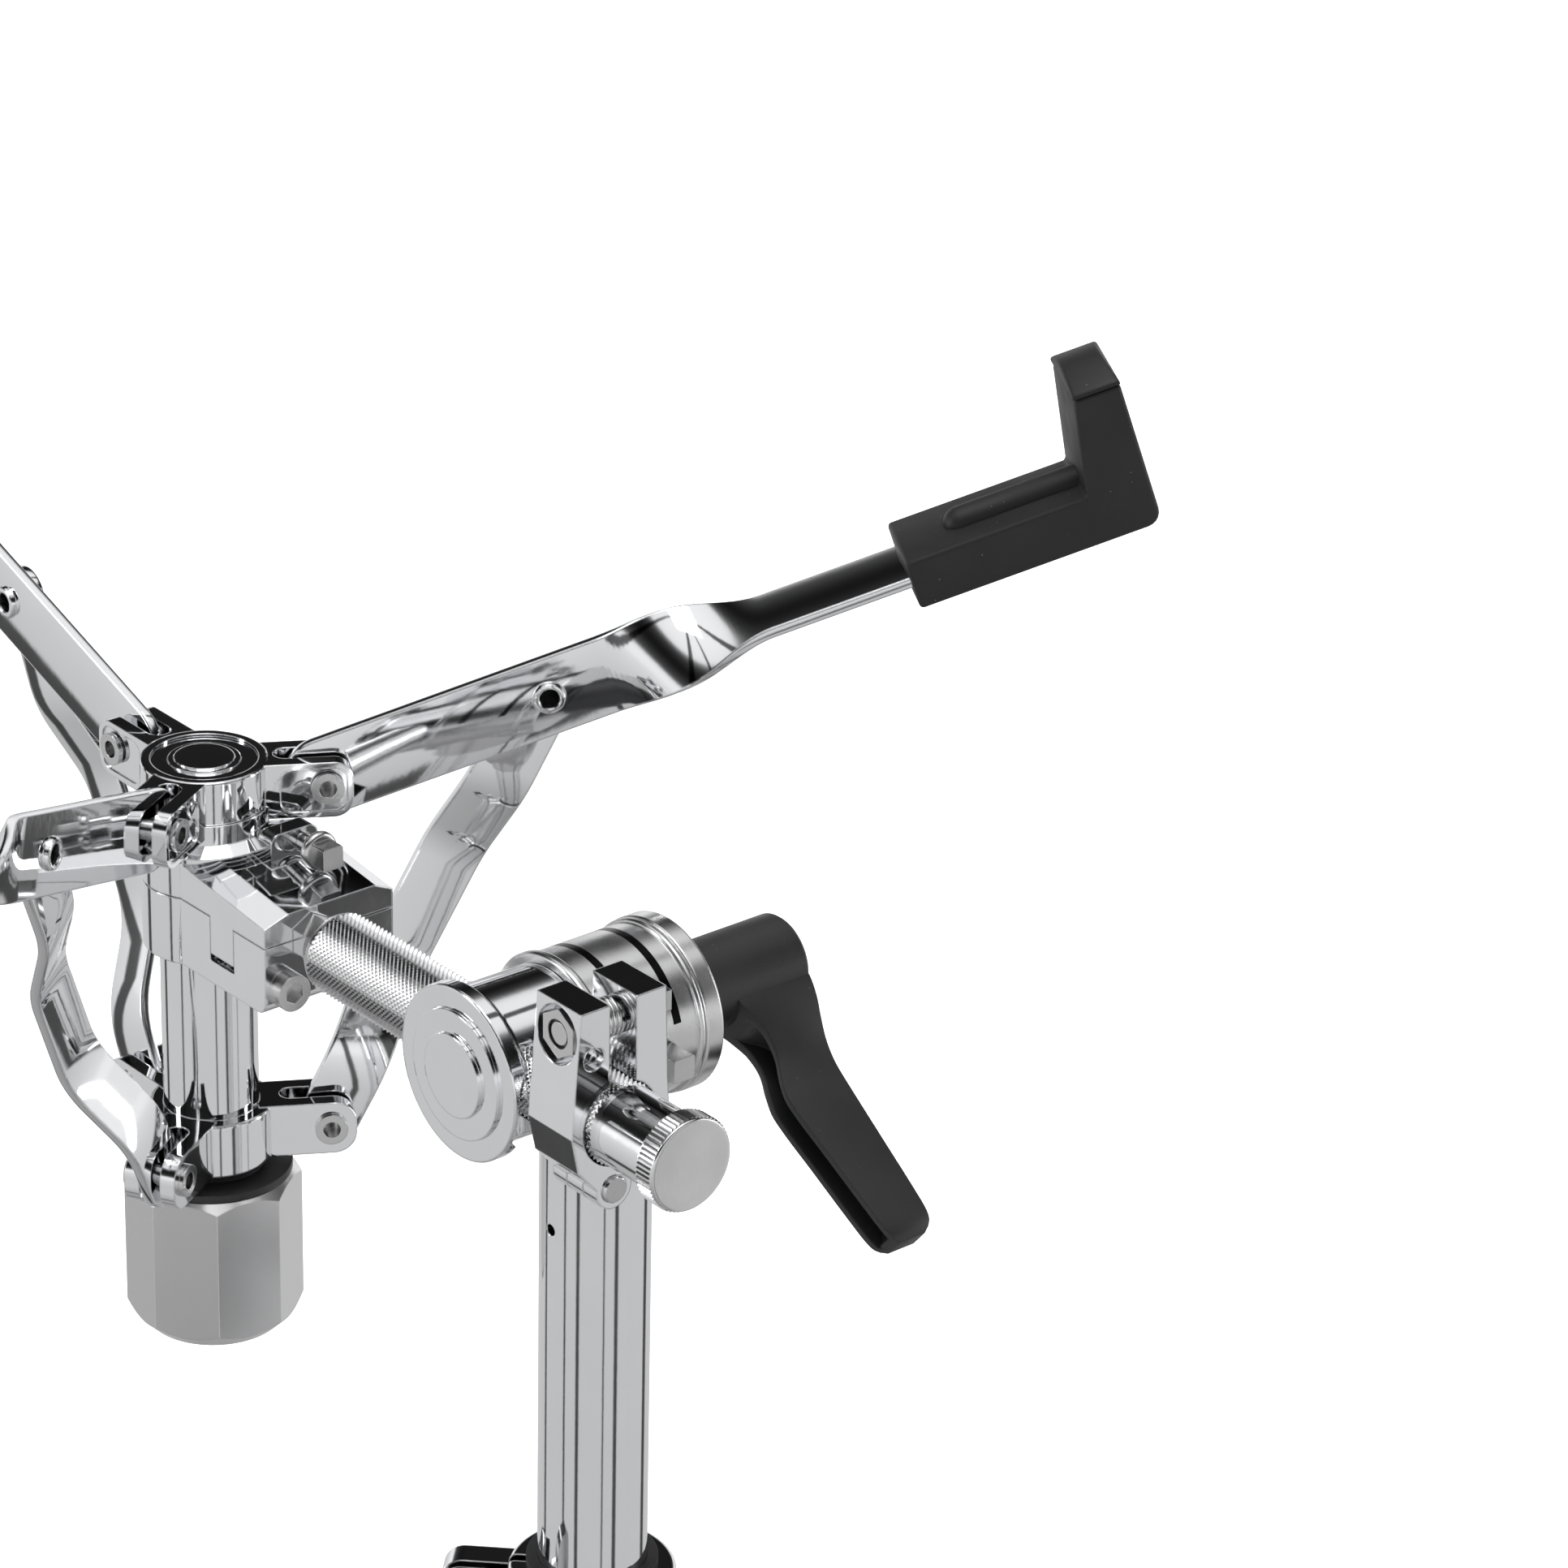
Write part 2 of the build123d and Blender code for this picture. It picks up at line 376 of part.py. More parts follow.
def basket_clamp():
    """The two halves that grip the hex bar and carry the basket tube, with their socket screw and key bolt."""
    y0, y1 = -42.0, -1.5

    def section(x, rise):
        """The upper half across the bar, with a wide chamfer on each side and its top raised by rise."""
        outline = [(y0, 0.15), (y1, 0.15), (y1, 5.4 + rise), (-7.0, 7.9 + rise), (-34.5, 7.9 + rise)]
        outline += [(y0, 5.4 + rise)]
        return Plane.YZ.offset(x) * make_face(Polyline(*outline, close=True))

    # The top slopes down to the end where the bar goes in.
    upper = loft([section(BASKET_X, 5.6), section(RECEIVER_FACE, 0.0)], ruled=True)
    upper += bar("z", 17.0, 0.15, 21.0, BASKET) + cone("z", 20.5, 16.9, 13.0, 15.6, BASKET)
    buttress = block((BOLT_PLATE - 5.5, BOLT_PLATE), (-25.7, -11.0), (7.0, 19.6))
    upper += fillet(buttress.edges().filter_by(Axis.X).group_by(Axis.Z)[-1], 2.5)
    upper += block((BASKET_X + 14, BOLT_PLATE - 5.0), (-25.7, -11.0), (7.0, 17.0))
    upper -= bar("z", BASKET_TUBE_R, -1.0, 30.0, BASKET)
    lower = block((BASKET_X, RECEIVER_FACE), (y0, y1), (-19.0, -0.15))
    lower = fillet(lower.edges().filter_by(Axis.Y).group_by(Axis.X)[-1].group_by(Axis.Z)[0], 3.0)
    lower += bar("z", 17.0, -19.0, -0.15, BASKET)
    lower -= bar("z", BASKET_TUBE_R, -30.0, 1.0, BASKET)
    hole = prism("x", 6, HEX_FLATS + 0.14, HEX_END - 0.4, RECEIVER_FACE + 1, (ROD_Y, 0.0))
    upper, lower = upper - hole, lower - hole
    # A tongue on the upper half sits in a notch of the lower one, on the side away from the lever.
    tongue = block((-107.0, -97.0), (y0, y0 + 5.0), (-10.5, 0.15))
    upper = upper + tongue
    lower -= block((-107.3, -96.7), (y0 - 1, y0 + 5.3), (-12.5, 0.2))
    bolt_at = (-15.5, 15.4)
    socket_at = (-36.0, -12.5)
    upper -= bar("x", 2.4 + FIT, BOLT_PLATE - 9.0, BOLT_PLATE + 1, bolt_at)
    lower -= bar("x", 3.0, -100.0, RECEIVER_FACE + 1, socket_at)
    save("basket_clamp_upper", upper)
    save("basket_clamp_lower", lower)
    flange = fillet(bar("x", 5.3, BOLT_PLATE + 5.3, BOLT_PLATE + 8.0, bolt_at).edges(), 1.1)
    key = bar("x", 2.4, BOLT_PLATE - 8.0, BOLT_PLATE + 6.0, bolt_at) + flange
    head = prism("x", 4, 6.2, BOLT_PLATE + 7.5, BOLT_PLATE + 13.0, bolt_at, turn=45.0)
    head &= bar("x", 4.1, BOLT_PLATE + 7.0, BOLT_PLATE + 13.0, bolt_at)
    save("basket_key_bolt", key + head)
    screw = bar("x", 3.0, -95.0, RECEIVER_FACE, socket_at) + bar("x", 5.0, RECEIVER_FACE, -78.5, socket_at)
    save("basket_clamp_screw", screw - prism("x", 6, 5.0, -81.0, -78.0, socket_at))


# ---- basket tube, hubs, adjuster --------------------------------------------------------------------------------
LOWER_PIVOT = UPPER_PIVOT - HUB_DROP
NUT_LOW, NUT_TOP, NUT_TURN = -132.0, -87.4, 12.4
WASHER_TOP = -83.2


def lugs(hub, low, high, slot, cheek, corner, recessed):
    """Adds three forked lugs to a hub, with or without a sunk panel in each cheek."""
    for azimuth in LUG_AZIMUTHS:
        half = slot / 2 + cheek
        lug = block((12.0, 38.0), (-half, half), (low, high))
        lug = fillet(lug.edges().filter_by(Axis.Y).group_by(Axis.X)[-1], corner)
        if recessed:
            panel = block((19.0, 36.4), (half - 0.5, half + 1), (low + 1.7, high - 1.7))
            panel = fillet(panel.edges().filter_by(Axis.Y), corner - 1.7)
            lug = lug - panel - mirror(panel, Plane.XZ)
        hub += Rot(0, 0, azimuth) * lug
    for azimuth in LUG_AZIMUTHS:
        cut = block((21.0, 40.0), (-slot / 2, slot / 2), (low - 1, high + 1))
        cut += bar("z", slot / 2, low - 1, high + 1, (21.0, 0.0))
        hub -= Rot(0, 0, azimuth) * cut
    return hub


def hub_rivets(height, length, sides, hollow):
    """Three rivets across a hub's lugs, each with a solid head one side and a rolled hollow one the other."""
    rivets = []
    for azimuth, side in zip(LUG_AZIMUTHS, sides):
        at = (PIVOT_RADIUS, height)
        rivet = bar("y", 3.0, -length / 2, length / 2, at)
        rivet += bar("y", 4.9, length / 2, length / 2 + 1.3, at)
        rolled = bar("y", 4.35, -length / 2 - 1.2, -length / 2, at)
        rivet = rivet + rolled - bar("y", 2.3, -length / 2 - 2, -length / 2 + hollow, at)
        if side < 0:
            rivet = mirror(rivet, Plane.XZ)
        rivets.append(Rot(0, 0, azimuth) * rivet)
    return rivets


def pin_holes(hub, height, radius):
    """Bores a hub's lugs for its rivets."""
    for azimuth in LUG_AZIMUTHS:
        hub -= Rot(0, 0, azimuth) * bar("y", radius, -12, 12, (PIVOT_RADIUS, height))
    return hub


def basket_column():
    """The basket tube with the fixed upper hub, its cap and rivets, and the threaded stud below."""
    tube = bar("z", BASKET_TUBE_R, -82.0, 29.0) - bar("z", BASKET_TUBE_R - BASKET_TUBE_WALL, -83.0, 30.0)
    save("basket_tube", tube, shift=BASKET)

    hub = bar("z", 16.7, 18.6, 33.2) + bar("z", 14.6, 21.5, 33.2)
    hub = fillet(hub.edges().group_by(Axis.Z)[-1], 0.8)
    hub = lugs(hub, 17.5, 33.0, 6.5, 4.1, 5.0, recessed=True)
    hub -= bar("z", BASKET_TUBE_R, 15.0, 29.0)
    hub -= bar("z", 14.0, 31.2, 34.0) + bar("z", 10.0, 28.0, 32.0)
    hub = pin_holes(hub, UPPER_PIVOT, 3.0)
    # The clamp's collar comes up to the hub, so the hub starts just above it.
    hub -= bar("z", 17.3, 15.0, 21.2)
    save("upper_hub", hub, shift=BASKET)
    save("upper_hub_rivets", *hub_rivets(UPPER_PIVOT, 14.7, (1, -1, -1), 4.0), shift=BASKET)
    cap = bar("z", 14.0, 31.2, 32.4) + bar("z", 9.5, 32.4, 32.9) + bar("z", 7.9, 32.9, 33.3)
    cap += bar("z", BASKET_TUBE_R - BASKET_TUBE_WALL, 24.0, 29.0) + bar("z", 10.0, 29.0, 31.2)
    save("hub_cap", cap, shift=BASKET)
    stud = bar("z", 5.0, -125.0, -62.0) + bar("z", BASKET_TUBE_R - BASKET_TUBE_WALL, -62.0, -50.0)
    save("basket_stud", stud, shift=BASKET)


def lower_hub():
    """The hub that slides on the basket tube and carries the struts."""
    hub = bar("z", 16.5, -82.0, -67.0) + bar("z", 14.4, WASHER_TOP + GAP, -82.0)
    hub = fillet(hub.edges().group_by(Axis.Z)[-1], 0.8)
    hub = lugs(hub, LOWER_PIVOT - 7.5, LOWER_PIVOT + 7.5, 6.0, 4.2, 6.0, recessed=False)
    hub -= bar("z", BASKET_TUBE_R + FIT, -90.0, -60.0)
    save("lower_hub", pin_holes(hub, LOWER_PIVOT, 3.0), shift=BASKET)
    save("lower_hub_rivets", *hub_rivets(LOWER_PIVOT, 14.4, (1, -1, -1), 4.0), shift=BASKET)


def adjuster():
    """The octagonal hand nut under the lower hub, and the plastic washer between them."""
    washer = bar("z", 21.3, -87.1, -85.0) + bar("z", 14.0, -85.0, WASHER_TOP)
    washer -= bar("z", 5.0 + 6.0, -90.0, -80.0)
    save("adjuster_washer", washer, shift=BASKET)
    nut = prism("z", 8, 43.8, NUT_LOW, NUT_TOP, turn=NUT_TURN)
    nut &= cone("z", 18.6, 25.6, NUT_LOW, NUT_LOW + 7.0) + bar("z", 25.6, NUT_LOW + 7.0, NUT_TOP)
    nut &= bar("z", 25.6, NUT_LOW, NUT_TOP - 4.5) + cone("z", 25.6, 21.1, NUT_TOP - 4.5, NUT_TOP)
    nut -= bar("z", 5.0 + FIT, NUT_LOW + 6.0, NUT_TOP + 1)
    peg = block((-3.5, 3.5), (-3.5, 3.5), (NUT_LOW - 8.5, NUT_LOW))
    peg = fillet(peg.edges().group_by(Axis.Z)[0], 1.6)
    save("adjuster_nut", nut + Rot(0, 0, 20) * peg, shift=BASKET)


# ---- arms and struts --------------------------------------------------------------------------------------------
ARM_WIDE = 22.0
TWIST_START, TWIST_END, TIP_START = 77.0, 122.0, 160.0
FINGER_TOP, FINGER_CREASE = 45.5, 41.3
PAD_LOW, PAD_HIGH = -6.7, 7.1


def arm_strip():
    """One arm in its own frame, along +X from its pivot: upright, then twisted a quarter turn to lie flat."""
    upright = block((-11.0, TWIST_START), (-STRIP / 2, STRIP / 2), (-ARM_WIDE / 2, ARM_WIDE / 2))
    upright = fillet(upright.edges().filter_by(Axis.Y).group_by(Axis.X)[0], ARM_WIDE / 2 - 0.1)
    sections = []
    steps = 6
    for step in range(steps + 1):
        share = step / steps
        place = Pos(TWIST_START + share * (TWIST_END - TWIST_START), 0, 0) * Rot(-90 * share, 0, 0)
        sections.append(place * (Plane.YZ * Rectangle(STRIP, ARM_WIDE)))
    twist = loft(sections)
    flat = block((TWIST_END, ARM_LENGTH - 8.0), (-ARM_WIDE / 2, ARM_WIDE / 2), (-STRIP / 2, STRIP / 2))
    return upright + twist + flat - bar("y", 3.0 + FIT, -5, 5)


def arm_tip():
    """The rubber sleeve and upright finger at the end of an arm, in the arm's frame."""
    sleeve = block((TIP_START, ARM_LENGTH), (-14.0, 14.0), (PAD_LOW, PAD_HIGH))
    sleeve = fillet(sleeve.edges().filter_by(Axis.X), 2.5)
    sleeve -= block((TIP_START - 1, ARM_LENGTH - 8.0), (-ARM_WIDE / 2, ARM_WIDE / 2), (-STRIP / 2, STRIP / 2))
    sleeve -= block((TIP_START + 6, ARM_LENGTH - 10), (-8.5, 8.5), (PAD_LOW - 1, -STRIP / 2))
    ridge = block((TIP_START + 14, ARM_LENGTH - 10), (-4.5, 4.5), (PAD_HIGH, PAD_HIGH + 4))
    ridge = fillet(ridge.edges().filter_by(Axis.Z).group_by(Axis.X)[0], 4.0)
    outer, crease, top = ARM_LENGTH, PAD_LOW + FINGER_CREASE, PAD_LOW + FINGER_TOP
    side = [(outer - 17.0, PAD_HIGH - 1), (outer, PAD_HIGH - 1), (outer, crease), (outer - 3.0, top)]
    side += [(outer - 13.0, top), (outer - 12.6, crease)]
    finger = slab(side, "xz", -14.0, 14.0)
    # The top is vaulted across the finger: the lowest at its sides, the highest in the middle.
    rise = FINGER_TOP - FINGER_CREASE
    vault = (14.0 ** 2 + rise ** 2) / (2 * rise)
    finger &= bar("x", vault, outer - 20.0, outer + 1.0, (0.0, top - vault)) + block((0, 300), (-15, 15), (0, crease))
    return sleeve + ridge + finger


def strut_strip(side):
    """One strut in its own frame, along +X from the arm's rivet, joggled away from the arm on the given side."""
    steps = [(-8.0, 3.9), (29.5, 3.9), (52.7, 13.0), (91.0, 13.0), (114.6, 0.0), (STRUT_LENGTH + 8.0, 0.0)]
    outline = [(x, side * offset + STRIP / 2) for x, offset in steps]
    outline += [(x, side * offset - STRIP / 2) for x, offset in reversed(steps)]
    strip = slab(outline, "xy", -8.5, 8.5)
    bends = [e for e in strip.edges().filter_by(Axis.Z) if 0.0 < e.center().X < STRUT_LENGTH]
    strip = fillet(bends, 7.0)
    ends = block((-8.5, STRUT_LENGTH + 8.5), (-30, 30), (-8.5, 8.5))
    ends = fillet(ends.edges().filter_by(Axis.Y), 8.4)
    return (strip & ends) - bar("y", 3.0 + FIT, -6, 6, (STRUT_LENGTH, 0.0))


def arm_to_strut_rivet(side):
    """The rivet's two halves, which meet between the strips: a hollow one in the arm, a headed one in the strut."""
    far = 6.8
    arm_half = bar("y", 4.3, -3.1, -STRIP / 2) + bar("y", 3.4, -STRIP / 2, STRIP / 2) - bar("y", 2.6, -4, 0.5)
    strut_half = bar("y", 3.4, 2.4, 5.4) + bar("y", 4.9, 5.4, far)
    if side < 0:
        arm_half, strut_half = mirror(arm_half, Plane.XZ), mirror(strut_half, Plane.XZ)
    return arm_half, strut_half


def arms_and_struts():
    """The three arms with their rubber tips, and the three struts that hold them up."""
    rise = math.radians(ARM_RISE)
    joint_out = ARM_TO_STRUT * math.cos(rise)
    joint_up = ARM_TO_STRUT * math.sin(rise) + HUB_DROP
    strut_fall = math.degrees(math.atan2(joint_up, joint_out))
    strip, tip = arm_strip(), arm_tip()
    for number, (azimuth, side) in enumerate(zip(LUG_AZIMUTHS, STRUT_SIDES), 1):
        place = Rot(0, 0, azimuth) * Pos(PIVOT_RADIUS, 0, UPPER_PIVOT) * Rot(0, -ARM_RISE, 0)
        arm_half, strut_half = arm_to_strut_rivet(side)
        arm_half = Pos(ARM_TO_STRUT, 0, 0) * arm_half
        hole = bar("y", 3.4, -5, 5, (ARM_TO_STRUT, 0.0))
        save(f"arm_{number}", place * (strip - hole), place * arm_half, shift=BASKET)
        save(f"arm_tip_{number}", place * tip, shift=BASKET)

        # The strut runs from the rivet on the arm down and inwards to the lower pivot.
        turn = Rot(0, 180 - strut_fall, 0)
        strut_place = place * Pos(ARM_TO_STRUT, 0, 0) * Rot(0, ARM_RISE, 0) * turn
        strut = strut_strip(side) - bar("y", 3.4, -30, 30)
        save(f"strut_{number}", strut_place * strut, strut_place * strut_half, shift=BASKET)


def main():
    os.makedirs("parts", exist_ok=True)
    tripod_base()
    leg_collar()
    tripod_legs()
    height_tube_and_casting()
    clamp_lever()
    tilter_head()
    offset_rod()
    memory_clamp()
    basket_clamp()
    basket_column()
    lower_hub()
    adjuster()
    arms_and_struts()


main()
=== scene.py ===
"""The looks of a snare drum stand: finishes for its CAD pieces, finer pieces over some, and a small studio.

Every length is in metres, in the stand's own frame: +Z up the tube, +X the way the offset rod points past the
tilter, +Y the tilter axis towards its clamping lever.
"""

from __future__ import annotations

import json
import logging
import math
from dataclasses import dataclass
from enum import Enum

import bmesh
import bpy
from mathutils import Matrix, Vector

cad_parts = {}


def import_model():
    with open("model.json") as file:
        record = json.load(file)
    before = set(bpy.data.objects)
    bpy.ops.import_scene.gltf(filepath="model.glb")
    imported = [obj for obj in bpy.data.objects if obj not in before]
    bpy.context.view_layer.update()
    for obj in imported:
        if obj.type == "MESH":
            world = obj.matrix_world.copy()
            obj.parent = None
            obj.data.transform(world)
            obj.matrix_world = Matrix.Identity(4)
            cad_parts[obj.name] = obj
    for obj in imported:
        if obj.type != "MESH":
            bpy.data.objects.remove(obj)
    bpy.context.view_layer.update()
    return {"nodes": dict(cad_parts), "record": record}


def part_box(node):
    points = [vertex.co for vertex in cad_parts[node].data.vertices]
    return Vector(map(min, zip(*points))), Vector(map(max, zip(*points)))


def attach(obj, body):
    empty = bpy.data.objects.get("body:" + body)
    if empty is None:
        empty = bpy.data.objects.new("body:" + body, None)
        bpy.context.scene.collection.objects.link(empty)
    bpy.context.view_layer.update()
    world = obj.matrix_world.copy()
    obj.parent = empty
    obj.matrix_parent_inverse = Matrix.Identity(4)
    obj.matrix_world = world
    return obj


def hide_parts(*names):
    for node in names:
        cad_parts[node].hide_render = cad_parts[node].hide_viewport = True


LOG = logging.getLogger("drum_stand")
MM = 0.001


# ---- shader and geometry trees -----------------------------------------------------------------------------
class Tree:
    """A node tree with short ways to add and join its nodes."""

    def __init__(self, tree: bpy.types.NodeTree) -> None:
        """Starts from an existing tree.

        Args:
            tree: The node tree that the nodes go into.
        """
        self.tree = tree

    def add(
        self, kind: str, inputs: dict[str | int, object] | None = None, **settings: object
    ) -> bpy.types.Node:
        """Adds a node, sets its properties and sets or joins its inputs.

        Args:
            kind: The node's type name.
            inputs: Input name or number to a value, or to the output socket that feeds it.
            **settings: The node's own properties.

        Returns:
            The new node.
        """
        node = self.tree.nodes.new(kind)
        for name, value in settings.items():
            setattr(node, name, value)
        for key, value in (inputs or {}).items():
            if isinstance(value, bpy.types.NodeSocket):
                self.tree.links.new(value, node.inputs[key])
            else:
                node.inputs[key].default_value = value
        return node

    def math(
        self, operation: str, first: object, second: object = 0.0, third: object = 0.0
    ) -> bpy.types.NodeSocket:
        """Adds a maths node on plain numbers or sockets and returns its result."""
        return self.add("ShaderNodeMath", {0: first, 1: second, 2: third}, operation=operation).outputs[0]


@dataclass(frozen=True)
class Grain:
    """Fine irregularity of a surface.

    Attributes:
        scale: Cells of the noise in a metre, along X, Y and Z.
        depth: Height of the relief in metres.
        strength: How much of the relief shows.
        detail: Octaves of the noise.
    """

    scale: tuple[float, float, float]
    depth: float
    strength: float
    detail: float = 3.0


@dataclass(frozen=True)
class Finish:
    """A surface finish, made into one material.

    Attributes:
        name: The material's name.
        colour: The base colour, linear.
        metallic: 1 for metal, 0 for rubber and plastic.
        roughness: The least and the greatest roughness, across the noise.
        grain: The fine relief.
        wander: Cells in a metre of the slow noise that varies the roughness and the colour.
        shade: How far the colour wanders, as a share.
        edge: Radius in metres over which a hard edge looks rounded.
        dust: How light the sparse specks of dust are, 0 for none.
    """

    name: str
    colour: tuple[float, float, float]
    metallic: float
    roughness: tuple[float, float]
    grain: Grain
    wander: float = 60.0
    shade: float = 0.04
    edge: float = 0.0
    dust: float = 0.0

    def colour_socket(
        self, nodes: Tree, place: bpy.types.NodeSocket, slow: bpy.types.NodeSocket
    ) -> bpy.types.NodeSocket:
        """Makes the colour, which wanders a little over the surface.

        Args:
            nodes: The material's tree.
            place: Object coordinates.
            slow: A slow noise from 0 to 1.

        Returns:
            The socket that carries the colour.
        """
        dark = (*(c * (1 - self.shade) for c in self.colour), 1.0)
        light = (*(min(1.0, c * (1 + self.shade)) for c in self.colour), 1.0)
        mix = nodes.add("ShaderNodeMix", {0: slow, 6: dark, 7: light}, data_type="RGBA")
        if not self.dust:
            return mix.outputs[2]
        cells = nodes.add("ShaderNodeTexVoronoi", {"Vector": place, "Scale": 420.0})
        near = nodes.math("LESS_THAN", cells.outputs["Distance"], 0.07)
        few = nodes.math("GREATER_THAN", cells.outputs["Color"], 0.62)
        speck = nodes.math("MULTIPLY", near, few)
        pale = (self.dust, self.dust, self.dust, 1.0)
        return nodes.add("ShaderNodeMix", {0: speck, 6: mix.outputs[2], 7: pale}, data_type="RGBA").outputs[2]

    def material(self) -> bpy.types.Material:
        """Builds the material.

        Returns:
            The finished material.
        """
        made = bpy.data.materials.new(self.name)
        made.use_nodes = True
        made.node_tree.nodes.clear()
        nodes = Tree(made.node_tree)
        place = nodes.add("ShaderNodeTexCoord").outputs["Object"]
        slow_inputs = {"Vector": place, "Scale": self.wander, "Detail": 3.0}
        slow = nodes.add("ShaderNodeTexNoise", slow_inputs).outputs["Fac"]
        stretched = nodes.add("ShaderNodeMapping", {"Vector": place, "Scale": self.grain.scale}).outputs[0]
        fine_inputs = {"Vector": stretched, "Scale": 1.0, "Detail": self.grain.detail, "Roughness": 0.6}
        fine = nodes.add("ShaderNodeTexNoise", fine_inputs).outputs["Fac"]
        rough_inputs = {0: slow, 1: 0.3, 2: 0.7, 3: self.roughness[0], 4: self.roughness[1]}
        rough = nodes.add("ShaderNodeMapRange", rough_inputs).outputs[0]
        bump_inputs = {"Height": fine, "Strength": self.grain.strength, "Distance": self.grain.depth}
        if self.edge:
            bump_inputs["Normal"] = nodes.add("ShaderNodeBevel", {"Radius": self.edge}, samples=4).outputs[0]
        bump = nodes.add("ShaderNodeBump", bump_inputs).outputs[0]
        surface = nodes.add(
            "ShaderNodeBsdfPrincipled",
            {
                "Base Color": self.colour_socket(nodes, place, slow),
                "Metallic": self.metallic,
                "Roughness": rough,
                "Normal": bump,
            },
        )
        nodes.add("ShaderNodeOutputMaterial", {"Surface": surface.outputs[0]})
        return made


@dataclass(frozen=True)
class BandedFinish(Finish):
    """A finish with two painted stripes over the top of the tilter casting.

    Attributes:
        axis_height: Height of the casting's axis.
        stripes: Middle of each stripe along Y, and its width.
        reach: How far down the casting the stripes come from its top, as a height above the axis.
    """

    axis_height: float = 0.48
    stripes: tuple[tuple[float, float], ...] = ((-0.0055, 0.0024), (0.0085, 0.0024))
    reach: float = 0.006

    def colour_socket(
        self, nodes: Tree, place: bpy.types.NodeSocket, slow: bpy.types.NodeSocket
    ) -> bpy.types.NodeSocket:
        """Makes the metal's colour, with the stripes painted over it.

        Args:
            nodes: The material's tree.
            place: Object coordinates.
            slow: A slow noise from 0 to 1.

        Returns:
            The socket that carries the colour.
        """
        metal = super().colour_socket(nodes, place, slow)
        parts = nodes.add("ShaderNodeSeparateXYZ", {0: place}).outputs
        painted: object = 0.0
        for middle, width in self.stripes:
            off = nodes.math("ABSOLUTE", nodes.math("SUBTRACT", parts[1], middle))
            painted = nodes.math("MAXIMUM", painted, nodes.math("LESS_THAN", off, width / 2))
        high = nodes.math("GREATER_THAN", parts[2], self.axis_height + self.reach)
        painted = nodes.math("MULTIPLY", painted, high)
        shades = {0: painted, 6: metal, 7: (0.01, 0.01, 0.011, 1.0)}
        mix = nodes.add("ShaderNodeMix", shades, data_type="RGBA")
        return mix.outputs[2]


POLISHED = Finish(
    "mirror_chrome", (0.86, 0.865, 0.88), 1.0, (0.035, 0.075),
    Grain((90.0, 90.0, 90.0), 0.0004, 0.05), edge=0.0006,
)
SATIN = BandedFinish(
    "satin_chrome_cast", (0.78, 0.78, 0.785), 1.0, (0.2, 0.3),
    Grain((900.0, 5000.0, 900.0), 0.00004, 0.3), edge=0.0004,
)
SATIN_PLAIN = Finish(
    "satin_chrome_turned", (0.8, 0.8, 0.8), 1.0, (0.18, 0.28),
    Grain((5000.0, 900.0, 900.0), 0.00004, 0.25), edge=0.0004,
)
SCREW_STEEL = Finish(
    "bright_screw_steel", (0.7, 0.7, 0.7), 1.0, (0.16, 0.3),
    Grain((2500.0, 2500.0, 2500.0), 0.00003, 0.3), edge=0.0003,
)
NUT_METAL = Finish(
    "satin_turned_aluminium", (0.86, 0.86, 0.86), 1.0, (0.22, 0.28),
    Grain((1400.0, 1400.0, 300.0), 0.00002, 0.1),
    wander=14.0, shade=0.02, edge=0.0005,
)
RUBBER = Finish(
    "moulded_black_rubber", (0.013, 0.013, 0.0135), 0.0, (0.42, 0.6),
    Grain((1800.0, 1800.0, 1800.0), 0.00005, 0.35),
    shade=0.2, edge=0.0008, dust=0.16,
)
NYLON = Finish(
    "grained_black_nylon", (0.02, 0.02, 0.021), 0.0, (0.36, 0.5),
    Grain((2600.0, 2600.0, 2600.0), 0.00006, 0.5),
    shade=0.15, edge=0.0006, dust=0.09,
)
KNURLED = Finish(
    "knurled_chrome", (0.82, 0.82, 0.83), 1.0, (0.1, 0.2), Grain((1500.0, 1500.0, 1500.0), 0.00003, 0.2)
)


# ---- meshes ------------------------------------------------------------------------------------------------
class Axis(Enum):
    """The directions that round parts of the stand are turned about."""

    X = (1.0, 0.0, 0.0)
    Y = (0.0, 1.0, 0.0)


